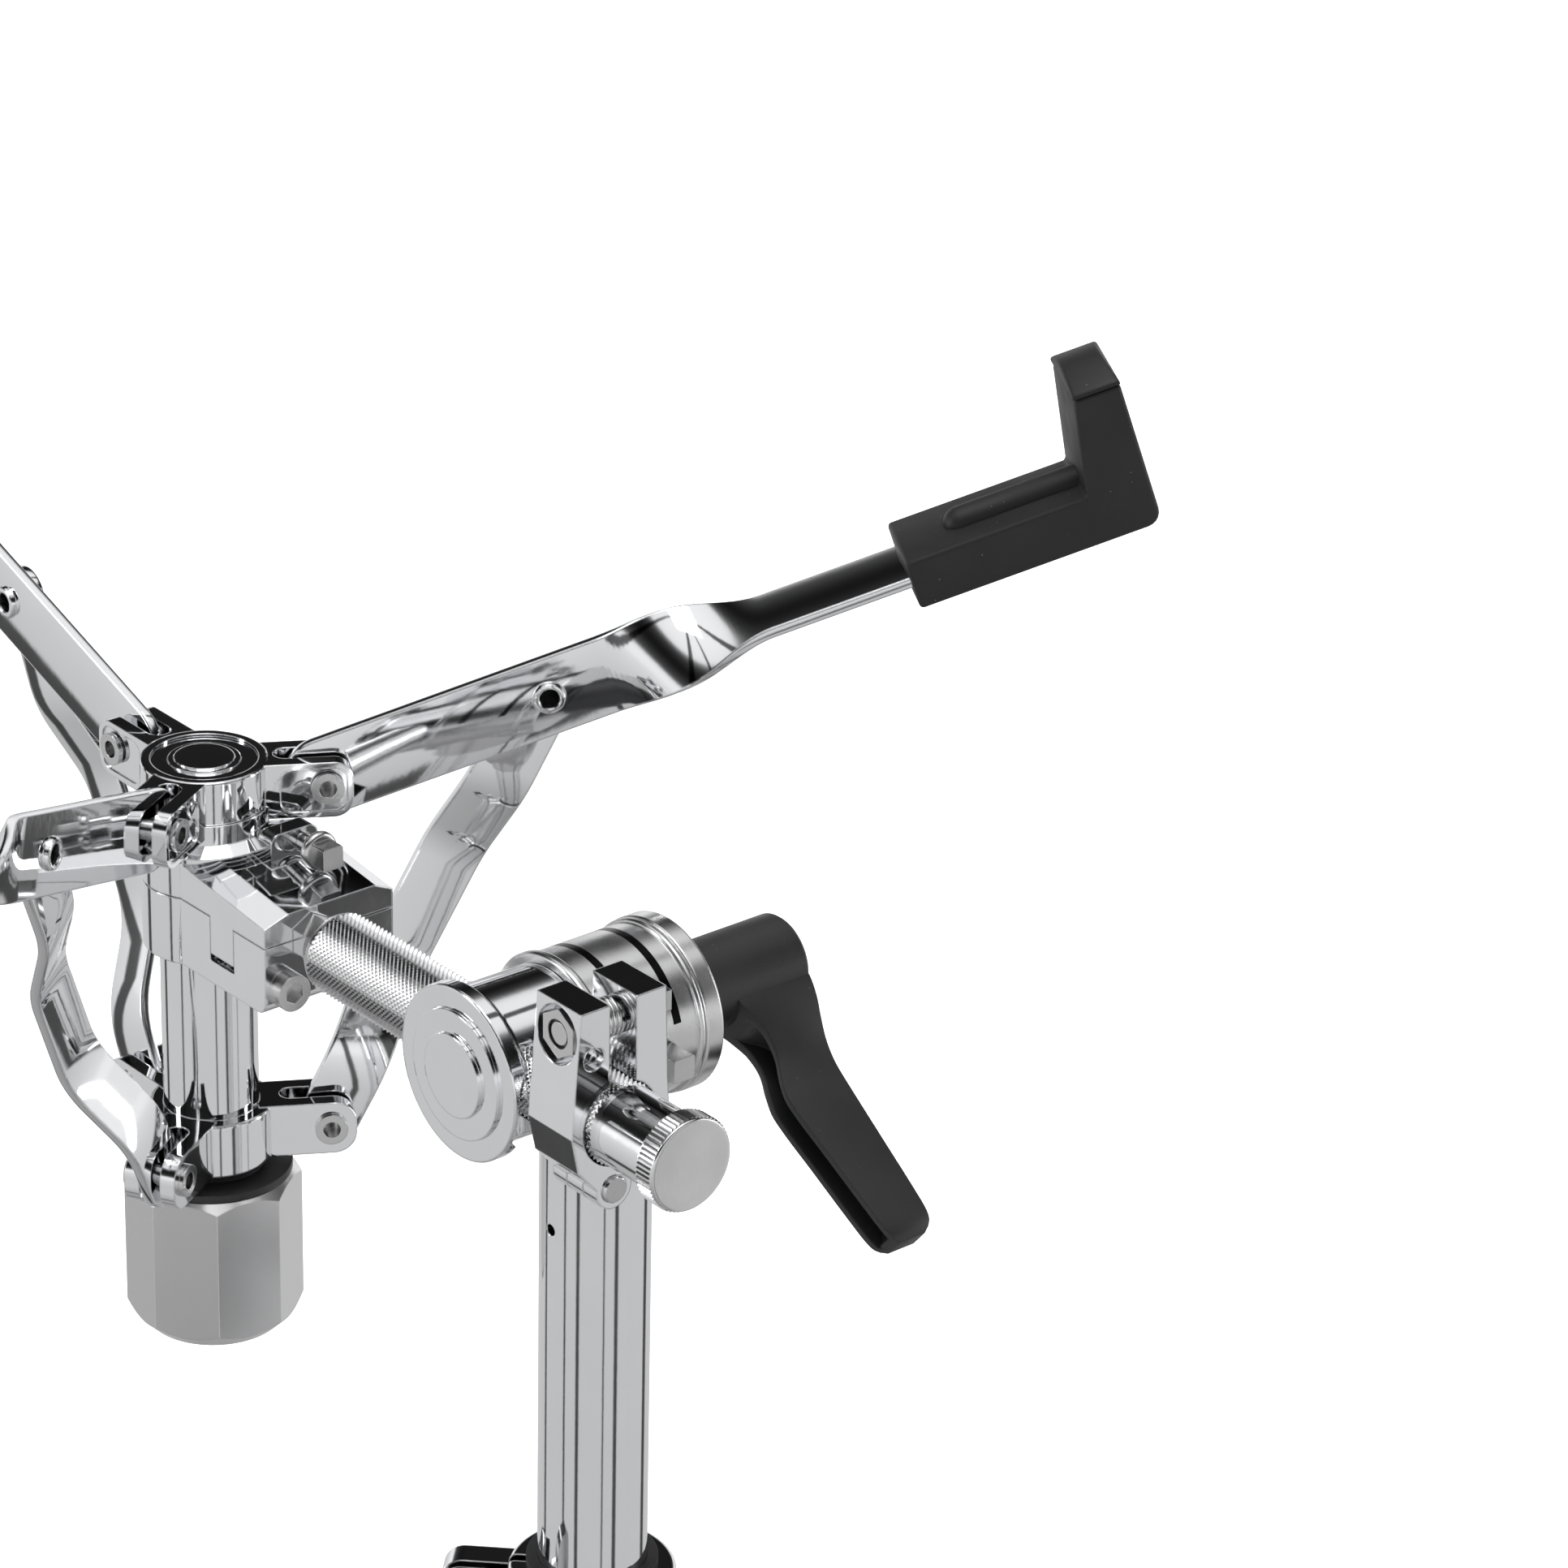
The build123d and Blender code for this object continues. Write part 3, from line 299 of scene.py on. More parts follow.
class Solid:
    """A mesh under construction, in metres."""

    def __init__(self, name: str, place: Matrix | None = None) -> None:
        """Starts an empty mesh.

        Args:
            name: The finished object's name.
            place: Where the mesh's own frame lies in the stand's frame.
        """
        self.name = name
        self.place = place or Matrix.Identity(4)
        self.mesh = bmesh.new()

    def loft(self, rings: list[list[Vector]]) -> None:
        """Joins rings of as many points each into a closed skin; a ring of one point closes to a tip.

        Args:
            rings: The rings in order, in the mesh's own frame.
        """
        rows = [[self.mesh.verts.new(self.place @ point) for point in ring] for ring in rings]
        for low, high in zip(rows, rows[1:]):
            count = max(len(low), len(high))
            for k in range(count):
                after = (k + 1) % count
                corners = [low[k % len(low)], low[after % len(low)]]
                corners += [high[after % len(high)], high[k % len(high)]]
                self.mesh.faces.new(list(dict.fromkeys(corners)))
        for row in (rows[0], rows[-1]):
            if len(row) > 2:
                self.mesh.faces.new(row)

    def lathe(
        self, profile: list[tuple[float, float]], axis: Axis, centre: Vector, segments: int = 96
    ) -> None:
        """Turns a profile about an axis.

        Args:
            profile: Places along the axis and radii, in order; a radius of 0 at either end closes the skin.
            axis: The direction of the axis.
            centre: A point on the axis, from which the places are counted.
            segments: Points in a full turn.
        """
        along = Vector(axis.value)
        side = Vector((0.0, 0.0, 1.0))
        across = along.cross(side)
        rings = []
        for place, radius in profile:
            middle = centre + along * place
            if radius <= 0:
                rings.append([middle])
                continue
            turns = [math.tau * k / segments for k in range(segments)]
            rings.append([middle + (across * math.cos(a) + side * math.sin(a)) * radius for a in turns])
        self.loft(rings)

    def object(self, sharp: float = 32.0) -> bpy.types.Object:
        """Finishes the mesh.

        Args:
            sharp: Angle in degrees above which an edge stays sharp.

        Returns:
            The object, linked to the scene.
        """
        bmesh.ops.recalc_face_normals(self.mesh, faces=self.mesh.faces)
        data = bpy.data.meshes.new(self.name)
        self.mesh.to_mesh(data)
        self.mesh.free()
        data.shade_smooth()
        data.set_sharp_from_angle(angle=math.radians(sharp))
        made = bpy.data.objects.new(self.name, data)
        bpy.context.scene.collection.objects.link(made)
        return made


def settle(piece: bpy.types.Object) -> None:
    """Replaces a piece's mesh by its evaluated one and drops its modifiers."""
    graph = bpy.context.evaluated_depsgraph_get()
    data = bpy.data.meshes.new_from_object(piece.evaluated_get(graph), depsgraph=graph)
    piece.modifiers.clear()
    piece.data = data


def round_edges(piece: bpy.types.Object, width: float, angle: float = 35.0) -> None:
    """Rounds a piece's hard edges.

    Args:
        piece: The piece.
        width: Width of the rounding in metres.
        angle: Edges that bend more than this many degrees are rounded.
    """
    bevel = piece.modifiers.new("edges", "BEVEL")
    bevel.width, bevel.segments, bevel.limit_method = width, 3, "ANGLE"
    bevel.angle_limit = math.radians(angle)
    settle(piece)
    piece.data.shade_smooth()
    piece.data.set_sharp_from_angle(angle=math.radians(40.0))


def dress(piece: bpy.types.Object, finish: bpy.types.Material, body: str, slot: str, *nodes: str) -> None:
    """Gives a piece its finish and its body, and hides the CAD nodes that it stands for.

    Args:
        piece: The piece.
        finish: Its material.
        body: The body that it rides on.
        slot: The name of its material slot; not used.
        *nodes: The CAD nodes that it replaces, if any.
    """
    piece.data.materials.clear()
    piece.data.materials.append(finish)
    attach(piece, body)
    if nodes:
        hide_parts(*nodes)
    LOG.info("%s on %s: %d faces", piece.name, body, len(piece.data.polygons))


# ---- patterns made by geometry nodes -----------------------------------------------------------------------
class Stud(Enum):
    """What a radial pattern repeats."""

    PYRAMID = "pyramid"
    RIDGE = "ridge"


class Pattern:
    """A geometry node group with named inputs, and its use on a piece."""

    def __init__(self, name: str, inputs: dict[str, tuple[str, object]]) -> None:
        """Makes the group with its inputs.

        Args:
            name: The group's name.
            inputs: Input name to its socket type and default value.
        """
        self.group = bpy.data.node_groups.new(name, "GeometryNodeTree")
        face = self.group.interface
        face.new_socket("Geometry", in_out="INPUT", socket_type="NodeSocketGeometry")
        face.new_socket("Geometry", in_out="OUTPUT", socket_type="NodeSocketGeometry")
        for label, (kind, value) in inputs.items():
            socket = face.new_socket(label, in_out="INPUT", socket_type=kind)
            if value is not None:
                socket.default_value = value
        self.nodes = Tree(self.group)
        self.inputs = self.nodes.add("NodeGroupInput").outputs

    def finish(self, grown: bpy.types.NodeSocket) -> None:
        """Realizes what was grown, gives it the material and joins it to the piece.

        Args:
            grown: The geometry, with its instances.
        """
        real = self.nodes.add("GeometryNodeRealizeInstances", {"Geometry": grown}).outputs[0]
        join = self.nodes.add("GeometryNodeJoinGeometry")
        self.group.links.new(real, join.inputs[0])
        self.group.links.new(self.inputs["Geometry"], join.inputs[0])
        whole = {"Geometry": join.outputs[0], "Material": self.inputs["Material"]}
        dressed = self.nodes.add("GeometryNodeSetMaterial", whole).outputs[0]
        self.nodes.add("NodeGroupOutput", {0: dressed})

    def grow(self, piece: bpy.types.Object, values: dict[str, object]) -> None:
        """Runs the group on a piece and keeps the result as a plain mesh.

        Args:
            piece: The piece that the pattern is joined to.
            values: Input name to value.
        """
        modifier = piece.modifiers.new("pattern", "NODES")
        modifier.node_group = self.group
        for item in self.group.interface.items_tree:
            if item.in_out == "INPUT" and item.name in values:
                modifier[item.identifier] = values[item.name]
        settle(piece)


class RadialPattern(Pattern):
    """Studs in rings about an axis along X, each ring half a step round from the last."""

    def __init__(self, name: str, stud: Stud) -> None:
        """Builds the group.

        Args:
            name: The group's name.
            stud: The shape that is repeated.
        """
        number, whole = "NodeSocketFloat", "NodeSocketInt"
        super().__init__(
            name,
            {
                "Centre": ("NodeSocketVector", (0.0, 0.0, 0.0)),
                "Start": (number, 0.0),
                "Radius": (number, 0.01),
                "Rows": (whole, 1),
                "Row step": (number, 0.001),
                "Around": (whole, 24),
                "Stud radius": (number, 0.0005),
                "Stud height": (number, 0.0005),
                "Material": ("NodeSocketMaterial", None),
            },
        )
        nodes, given = self.nodes, self.inputs
        index = nodes.add("GeometryNodeInputIndex").outputs[0]
        row = nodes.math("FLOOR", nodes.math("DIVIDE", index, given["Around"]))
        place = nodes.math("MODULO", index, given["Around"])
        shift = nodes.math("MULTIPLY", nodes.math("MODULO", row, 2.0), 0.5)
        share = nodes.math("DIVIDE", nodes.math("ADD", place, shift), given["Around"])
        angle = nodes.math("MULTIPLY", share, math.tau)
        across, up = nodes.math("COSINE", angle), nodes.math("SINE", angle)
        along = nodes.math("MULTIPLY_ADD", row, given["Row step"], given["Start"])
        outward = nodes.add("ShaderNodeCombineXYZ", {1: across, 2: up}).outputs[0]
        scaled = {0: outward, "Scale": given["Radius"]}
        reach = nodes.add("ShaderNodeVectorMath", scaled, operation="SCALE").outputs[0]
        forward = nodes.add("ShaderNodeCombineXYZ", {0: along}).outputs[0]
        spot = nodes.add("ShaderNodeVectorMath", {0: reach, 1: forward}, operation="ADD").outputs[0]
        spot = nodes.add("ShaderNodeVectorMath", {0: spot, 1: given["Centre"]}, operation="ADD").outputs[0]
        count = nodes.math("MULTIPLY", given["Rows"], given["Around"])
        points = nodes.add("GeometryNodePoints", {"Count": count, "Position": spot}).outputs[0]
        facing = {"Vector": outward}
        turn = nodes.add("FunctionNodeAlignRotationToVector", facing, axis="Z", pivot_axis="X").outputs[0]
        spread = {"Points": points, "Instance": self.make_stud(stud), "Rotation": turn}
        self.finish(nodes.add("GeometryNodeInstanceOnPoints", spread).outputs[0])

    def make_stud(self, stud: Stud) -> bpy.types.NodeSocket:
        """Makes one stud, standing on the XY plane.

        Args:
            stud: Its shape.

        Returns:
            The socket that carries its mesh.
        """
        nodes, given = self.nodes, self.inputs
        if stud is Stud.PYRAMID:
            sizes = {"Vertices": 4, "Radius Top": 0.0, "Radius Bottom": given["Stud radius"]}
            sizes["Depth"] = given["Stud height"]
            return nodes.add("GeometryNodeMeshCone", sizes, fill_type="NGON").outputs[0]
        sizes = {"Vertices": 4, "Radius": given["Stud radius"], "Depth": given["Stud height"]}
        rod = nodes.add("GeometryNodeMeshCylinder", sizes, fill_type="NGON").outputs[0]
        flat = (0.0, math.pi / 2, 0.0)
        return nodes.add("GeometryNodeTransform", {"Geometry": rod, "Rotation": flat}).outputs[0]


class SpringPattern(Pattern):
    """A coil of wire along Y."""

    def __init__(self) -> None:
        """Builds the group."""
        number = "NodeSocketFloat"
        super().__init__(
            "coil_spring",
            {
                "Start": ("NodeSocketVector", (0.0, 0.0, 0.0)),
                "Turns": (number, 5.0),
                "Radius": (number, 0.004),
                "Wire": (number, 0.0004),
                "Length": (number, 0.01),
                "Material": ("NodeSocketMaterial", None),
            },
        )
        nodes, given = self.nodes, self.inputs
        sizes = {"Resolution": 36, "Rotations": given["Turns"], "Start Radius": given["Radius"]}
        sizes |= {"End Radius": given["Radius"], "Height": given["Length"]}
        coil = nodes.add("GeometryNodeCurveSpiral", sizes).outputs[0]
        section = {"Resolution": 12, "Radius": given["Wire"]}
        wire = nodes.add("GeometryNodeCurvePrimitiveCircle", section).outputs[0]
        swept = {"Curve": coil, "Profile Curve": wire, "Fill Caps": True}
        tube = nodes.add("GeometryNodeCurveToMesh", swept).outputs[0]
        laid = {"Geometry": tube, "Translation": given["Start"], "Rotation": (-math.pi / 2, 0.0, 0.0)}
        self.finish(nodes.add("GeometryNodeTransform", laid).outputs[0])


# ---- offset rod --------------------------------------------------------------------------------------------
@dataclass
class OffsetRod:
    """The knurled rod, its ridged end cap and the spring of its memory clamp.

    Attributes:
        axis: Height and Y of the rod's axis, as Y and Z.
        radius: Radius over the knurl's points.
        depth: Depth of the knurl.
        pitch: Length of one diamond along the rod.
        around: Diamonds in one turn.
        plain: Length of the plain stretch by the end cap.
        plain_radius: Its radius.
        ridges: Ridges round the end cap.
        cap_relief: How far the ridges stand out of the cap's rim.
        cap_round: Radius of the cap's front edge, and of one ridge.
        wire: Radius of the springs' wire.
        sunk: How far the diamonds' feet sit inside the core, so that no gap shows.
    """

    axis: tuple[float, float] = (-27.6 * MM, 480.0 * MM)
    radius: float = 11.1 * MM
    depth: float = 0.65 * MM
    pitch: float = 1.6 * MM
    around: int = 44
    plain: float = 17.5 * MM
    plain_radius: float = 10.4 * MM
    ridges: int = 62
    cap_relief: float = 0.35 * MM
    cap_round: float = 0.5 * MM
    wire: float = 0.62 * MM
    sunk: float = 0.02 * MM

    def build(
        self, knurled: bpy.types.Material, polished: bpy.types.Material, steel: bpy.types.Material
    ) -> None:
        """Builds and dresses the rod, the cap and the springs.

        Args:
            knurled: Finish of the knurl and the cap.
            polished: Finish of the plain stretch.
            steel: Finish of the springs.
        """
        centre = Vector((0.0, *self.axis))
        self.build_rod(centre, knurled, polished)
        self.build_cap(centre, knurled)
        self.build_spring(steel)

    def build_rod(self, centre: Vector, knurled: bpy.types.Material, polished: bpy.types.Material) -> None:
        """Builds the rod's core with the knurl's diamonds over it, and the plain stretch.

        Args:
            centre: A point on the rod's axis.
            knurled: Finish of the knurl.
            polished: Finish of the plain stretch.
        """
        low, high = (corner.x for corner in map(Vector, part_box("offset_rod")))
        knurl_end = high - self.plain
        core = self.radius - self.depth
        solid = Solid("knurled_rod")
        profile = [(low, 0.0), (low, core - self.depth), (low + self.depth, core)]
        profile.append((knurl_end - self.depth, core))
        profile += [(knurl_end, self.plain_radius), (knurl_end, 0.0)]
        solid.lathe(profile, Axis.X, centre)
        rod = solid.object()
        rows = int((knurl_end - low - 2 * self.depth) / (self.pitch / 2))
        values = {
            "Centre": centre, "Start": low + self.depth + self.pitch / 2, "Radius": core - self.sunk,
            "Rows": rows - 1, "Row step": self.pitch / 2, "Around": self.around,
            "Stud radius": self.pitch / 2,
            "Stud height": self.depth, "Material": knurled,
        }
        RadialPattern("diamond_knurl", Stud.PYRAMID).grow(rod, values)
        dress(rod, knurled, "rod", "chrome_steel", "offset_rod")
        plain = Solid("rod_plain_end")
        plain.lathe([(knurl_end - MM, 0.0), (knurl_end - MM, self.plain_radius), (high, self.plain_radius),
                     (high, 0.0)], Axis.X, centre)
        dress(plain.object(), polished, "rod", "chrome_steel")

    def build_cap(self, centre: Vector, knurled: bpy.types.Material) -> None:
        """Builds the end cap with its ridged rim.

        Args:
            centre: A point on the rod's axis.
            knurled: Finish of the cap.
        """
        low, high = (corner.x for corner in map(Vector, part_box("rod_end_cap")))
        outer = (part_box("rod_end_cap")[1][2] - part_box("rod_end_cap")[0][2]) / 2
        rim, round_off = outer - self.cap_relief, self.cap_round
        solid = Solid("rod_end_cap_turned")
        profile = [(low, 0.0), (low, rim - round_off), (low + 0.3 * MM, rim), (high - 0.7 * MM, rim)]
        for k in range(1, 6):
            turn = math.radians(18.0 * k)
            drop = round_off * (1 - math.cos(turn))
            profile.append((high - round_off + round_off * math.sin(turn), rim - drop))
        profile += [(high, rim - 2 * round_off), (high, 0.0)]
        solid.lathe(profile, Axis.X, centre, 124)
        cap = solid.object()
        values = {
            "Centre": centre, "Start": (low + high) / 2, "Radius": rim - 0.1 * MM, "Rows": 1, "Row step": 0.0,
            "Around": self.ridges, "Stud radius": self.cap_round, "Stud height": high - low - 1.6 * MM,
            "Material": knurled,
        }
        RadialPattern("rim_ridges", Stud.RIDGE).grow(cap, values)
        dress(cap, knurled, "rod", "satin_chrome", "rod_end_cap")

    def build_spring(self, steel: bpy.types.Material) -> None:
        """Winds the memory clamp's spring and the lever's in the room that the CAD leaves for them.

        Args:
            steel: Finish of the wire.
        """
        pattern = SpringPattern()
        for node, body, turns in (("clamp_spring", "memory_clamp", 5.0), ("lever_spring", "lever", 9.0)):
            low, high = map(Vector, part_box(node))
            middle, wire = (low + high) / 2, self.wire
            coil = Solid(f"{node}_wire").object()
            values = {
                "Start": (middle.x, low.y + wire, middle.z), "Turns": turns,
                "Radius": (high.x - low.x) / 2 - wire,
                "Wire": wire, "Length": high.y - low.y - 2 * wire, "Material": steel,
            }
            pattern.grow(coil, values)
            coil.data.shade_smooth()
            dress(coil, steel, body, "bright_screws", node)


# ---- basket ------------------------------------------------------------------------------------------------
def eased(share: float) -> float:
    """Turns a share from 0 to 1 into one that starts and ends slowly."""
    share = min(1.0, max(0.0, share))
    return share * share * (3 - 2 * share)


def rounded_route(
    corners: list[tuple[float, float]], radius: float, steps: int = 7
) -> list[tuple[float, float]]:
    """Rounds the corners of a route in a plane.

    Args:
        corners: The route's corner points.
        radius: Radius of the bends.
        steps: Points on each bend.

    Returns:
        The route's points, with an arc in place of each inner corner.
    """
    route = [corners[0]]
    for before, at, after in zip(corners, corners[1:], corners[2:]):
        here = Vector(at)
        back, ahead = (Vector(before) - here).normalized(), (Vector(after) - here).normalized()
        half = back.angle(ahead) / 2
        reach = radius / math.tan(half)
        start, stop = here + back * reach, here + ahead * reach
        centre = here + (back + ahead).normalized() * (radius / math.sin(half))
        for k in range(steps + 1):
            point = start.lerp(stop, k / steps)
            route.append(tuple(centre + (point - centre).normalized() * radius))
    route.append(corners[-1])
    return route


@dataclass
class Strip:
    """A flat metal strip with rounded edges, lofted along its length.

    Attributes:
        width: Its full width.
        thickness: Its thickness.
        edge: Radius of its edges.
    """

    width: float
    thickness: float = 3.0 * MM
    edge: float = 0.6 * MM

    def ring(self, middle: Vector, across: Vector, normal: Vector, half: float) -> list[Vector]:
        """One cross-section.

        Args:
            middle: Its middle.
            across: Direction of the width.
            normal: Direction of the thickness.
            half: Half of the width here.

        Returns:
            Its points, in order.
        """
        points = []
        inner = (max(half - self.edge, 0.0), self.thickness / 2 - self.edge)
        for quarter, (sx, sy) in enumerate(((1, 1), (-1, 1), (-1, -1), (1, -1))):
            for k in range(4):
                turn = math.radians(90.0 * quarter + 30.0 * k)
                side, out = math.cos(turn) * self.edge, math.sin(turn) * self.edge
                points.append(middle + across * (sx * inner[0] + side) + normal * (sy * inner[1] + out))
        return points

    def half_width(self, from_end: float) -> float:
        """Half of the width at a distance from a round end."""
        radius = self.width / 2
        if from_end >= radius:
            return radius
        return math.sqrt(max(radius**2 - (radius - from_end) ** 2, (0.3 * MM) ** 2))


@dataclass
class Basket:
    """The three arms with their rubber tips and the three struts.

    Attributes:
        rise: Degrees that the arms rise at rest.
        to_strut: From an arm's pivot to its strut's rivet.
        length: From an arm's pivot to the end of its tip.
        twist: Where along the arm its quarter twist starts and ends.
        sides: Side of its arm that each strut runs on.
        joggle: The strut's route: along it from the arm's rivet, and away from the arm.
        bend: Radius of the strut's bends.
        widths: Widths of an arm and of a strut.
        sleeved: How far the arm's strip ends short of the tip's outer face.
        eyelet: The rolled eyelet on the arm: millimetres away from the arm, and radii.
        rivet_head: The rivet's head on the strut, in the same way.
    """

    rise: float = 18.8
    to_strut: float = 61.7 * MM
    length: float = 226.7 * MM
    twist: tuple[float, float] = (77.0 * MM, 122.0 * MM)
    sides: tuple[int, ...] = (1, -1, -1)
    joggle: tuple[tuple[float, float], ...] = (
        (0.0295, 0.0039), (0.0527, 0.013), (0.091, 0.013), (0.1146, 0.0),
    )
    bend: float = 32.0 * MM
    widths: tuple[float, float] = (22.0 * MM, 17.0 * MM)
    sleeved: float = 8.0 * MM
    eyelet: tuple[tuple[float, float], ...] = (
        (0.5, 0.0), (0.5, 2.6), (-2.7, 2.6), (-3.05, 3.0), (-3.1, 3.5), (-2.9, 4.05), (-2.4, 4.3),
        (-1.5, 4.3),
    )
    rivet_head: tuple[tuple[float, float], ...] = (
        (2.45, 0.0), (2.45, 3.4), (5.4, 3.4), (5.4, 4.9), (5.9, 4.8), (6.35, 4.2), (6.65, 3.0), (6.8, 1.5),
        (6.8, 0.0),
    )

    def build(self, joints: dict[str, dict], chrome: bpy.types.Material, rubber: bpy.types.Material) -> None:
        """Builds and dresses all three arms, tips and struts.

        Args:
            joints: The record's joints by name.
            chrome: Finish of the strips.
            rubber: Finish of the tips.
        """
        for number, side in enumerate(self.sides, 1):
            pivot = joints[f"arm_{number}_fold"]
            place = self.arm_frame(pivot)
            self.build_arm(number, side, place, chrome)
            RubberTip(length=self.length).build(number, place, rubber)
            rivet = place @ Vector((self.to_strut, 0.0, 0.0))
            lower = Vector(joints[f"strut_{number}_fold"]["pos_m"])
            strut = self.strut_frame(rivet, lower, place)
            self.build_strut(number, side, strut, (lower - rivet).length, chrome)

    def arm_frame(self, joint: dict) -> Matrix:
        """The frame of an arm at rest: along it, across it, and up from its top face.

        Args:
            joint: The record's joint that the arm folds on.

        Returns:
            The frame, with its origin on the pivot.
        """
        axis = Vector(joint["axis"])
        outward, tangent = Vector((-axis.y, axis.x, 0.0)), -axis
        rise = math.radians(self.rise)
        along = outward * math.cos(rise) + Vector((0, 0, 1)) * math.sin(rise)
        turn = Matrix((along, tangent, along.cross(tangent))).transposed().to_4x4()
        return Matrix.Translation(Vector(joint["pos_m"])) @ turn

    def strut_frame(self, rivet: Vector, lower: Vector, arm: Matrix) -> Matrix:
        """The frame of a strut at rest: along it from the arm's rivet, and across the arm.

        Args:
            rivet: Where it hangs on the arm.
            lower: Its pivot on the lower hub.
            arm: The arm's frame.

        Returns:
            The frame, with its origin on the rivet.
        """
        along = (lower - rivet).normalized()
        tangent = (arm.to_3x3() @ Vector((0, 1, 0))).normalized()
        turn = Matrix((along, tangent, along.cross(tangent))).transposed().to_4x4()
        return Matrix.Translation(rivet) @ turn

    def build_arm(self, number: int, side: int, place: Matrix, chrome: bpy.types.Material) -> None:
        """Builds one arm: upright at the hub, then twisted a quarter turn to lie flat.

        Args:
            number: The arm's number.
            side: The side that its strut runs on.
            place: The arm's frame.
            chrome: Its finish.
        """
        strip = Strip(width=self.widths[0])
        radius = strip.width / 2
        stations = [-radius * math.cos(math.radians(a)) for a in range(0, 91, 9)]
        stations += [self.twist[0] + (self.twist[1] - self.twist[0]) * k / 36 for k in range(37)]
        stations.append(self.length - self.sleeved)
        rings = []
        for x in stations:
            turn = math.radians(90.0) * eased((x - self.twist[0]) / (self.twist[1] - self.twist[0]))
            across = Vector((0.0, math.sin(turn), math.cos(turn)))
            normal = Vector((1.0, 0.0, 0.0)).cross(across)
            rings.append(strip.ring(Vector((x, 0.0, 0.0)), across, normal, strip.half_width(x + radius)))
        solid = Solid(f"arm_{number}_strip", place)
        solid.loft(rings)
        centre = Vector((self.to_strut, 0.0, 0.0))
        solid.lathe([(side * a * MM, r * MM) for a, r in self.eyelet], Axis.Y, centre, 48)
        dress(solid.object(), chrome, f"basket_arm_{number}", "chrome_steel", f"arm_{number}")

    def build_strut(
        self, number: int, side: int, place: Matrix, length: float, chrome: bpy.types.Material
    ) -> None:
        """Builds one strut, joggled away from its arm, with the domed rivet head on it.

        Args:
            number: The strut's number.
            side: The side of the arm that it runs on.
            place: The strut's frame.
            length: From the arm's rivet to the lower pivot.
            chrome: Its finish.
        """
        strip = Strip(width=self.widths[1])
        radius = strip.width / 2
        start, stop = self.joggle[0][1], self.joggle[-1][1]
        corners = [(-radius, start), *self.joggle, (length + radius, stop)]
        route = rounded_route([(x, side * y) for x, y in corners], self.bend)
        ends = [radius * (1 - math.cos(math.radians(a))) for a in range(9, 90, 9)]
        route[1:1] = [(-radius + d, side * start) for d in ends]
        route[-1:-1] = [(length + radius - d, side * stop) for d in reversed(ends)]
        route.sort(key=lambda point: point[0])
        rings = []
        for k, point in enumerate(route):
            before, after = Vector(route[max(k - 1, 0)]), Vector(route[min(k + 1, len(route) - 1)])
            along = (after - before).normalized()
            normal = Vector((-along.y, along.x, 0.0))
            from_end = min(point[0] + radius, length + radius - point[0])
            half = strip.half_width(from_end)
            rings.append(strip.ring(Vector((*point, 0.0)), Vector((0, 0, 1)), normal, half))
        solid = Solid(f"strut_{number}_strip", place)
        solid.loft(rings)
        head = [(side * a * MM, r * MM) for a, r in self.rivet_head]
        solid.lathe(head, Axis.Y, Vector((0, 0, 0)), 48)
        dress(solid.object(), chrome, f"basket_strut_{number}", "chrome_steel", f"strut_{number}")


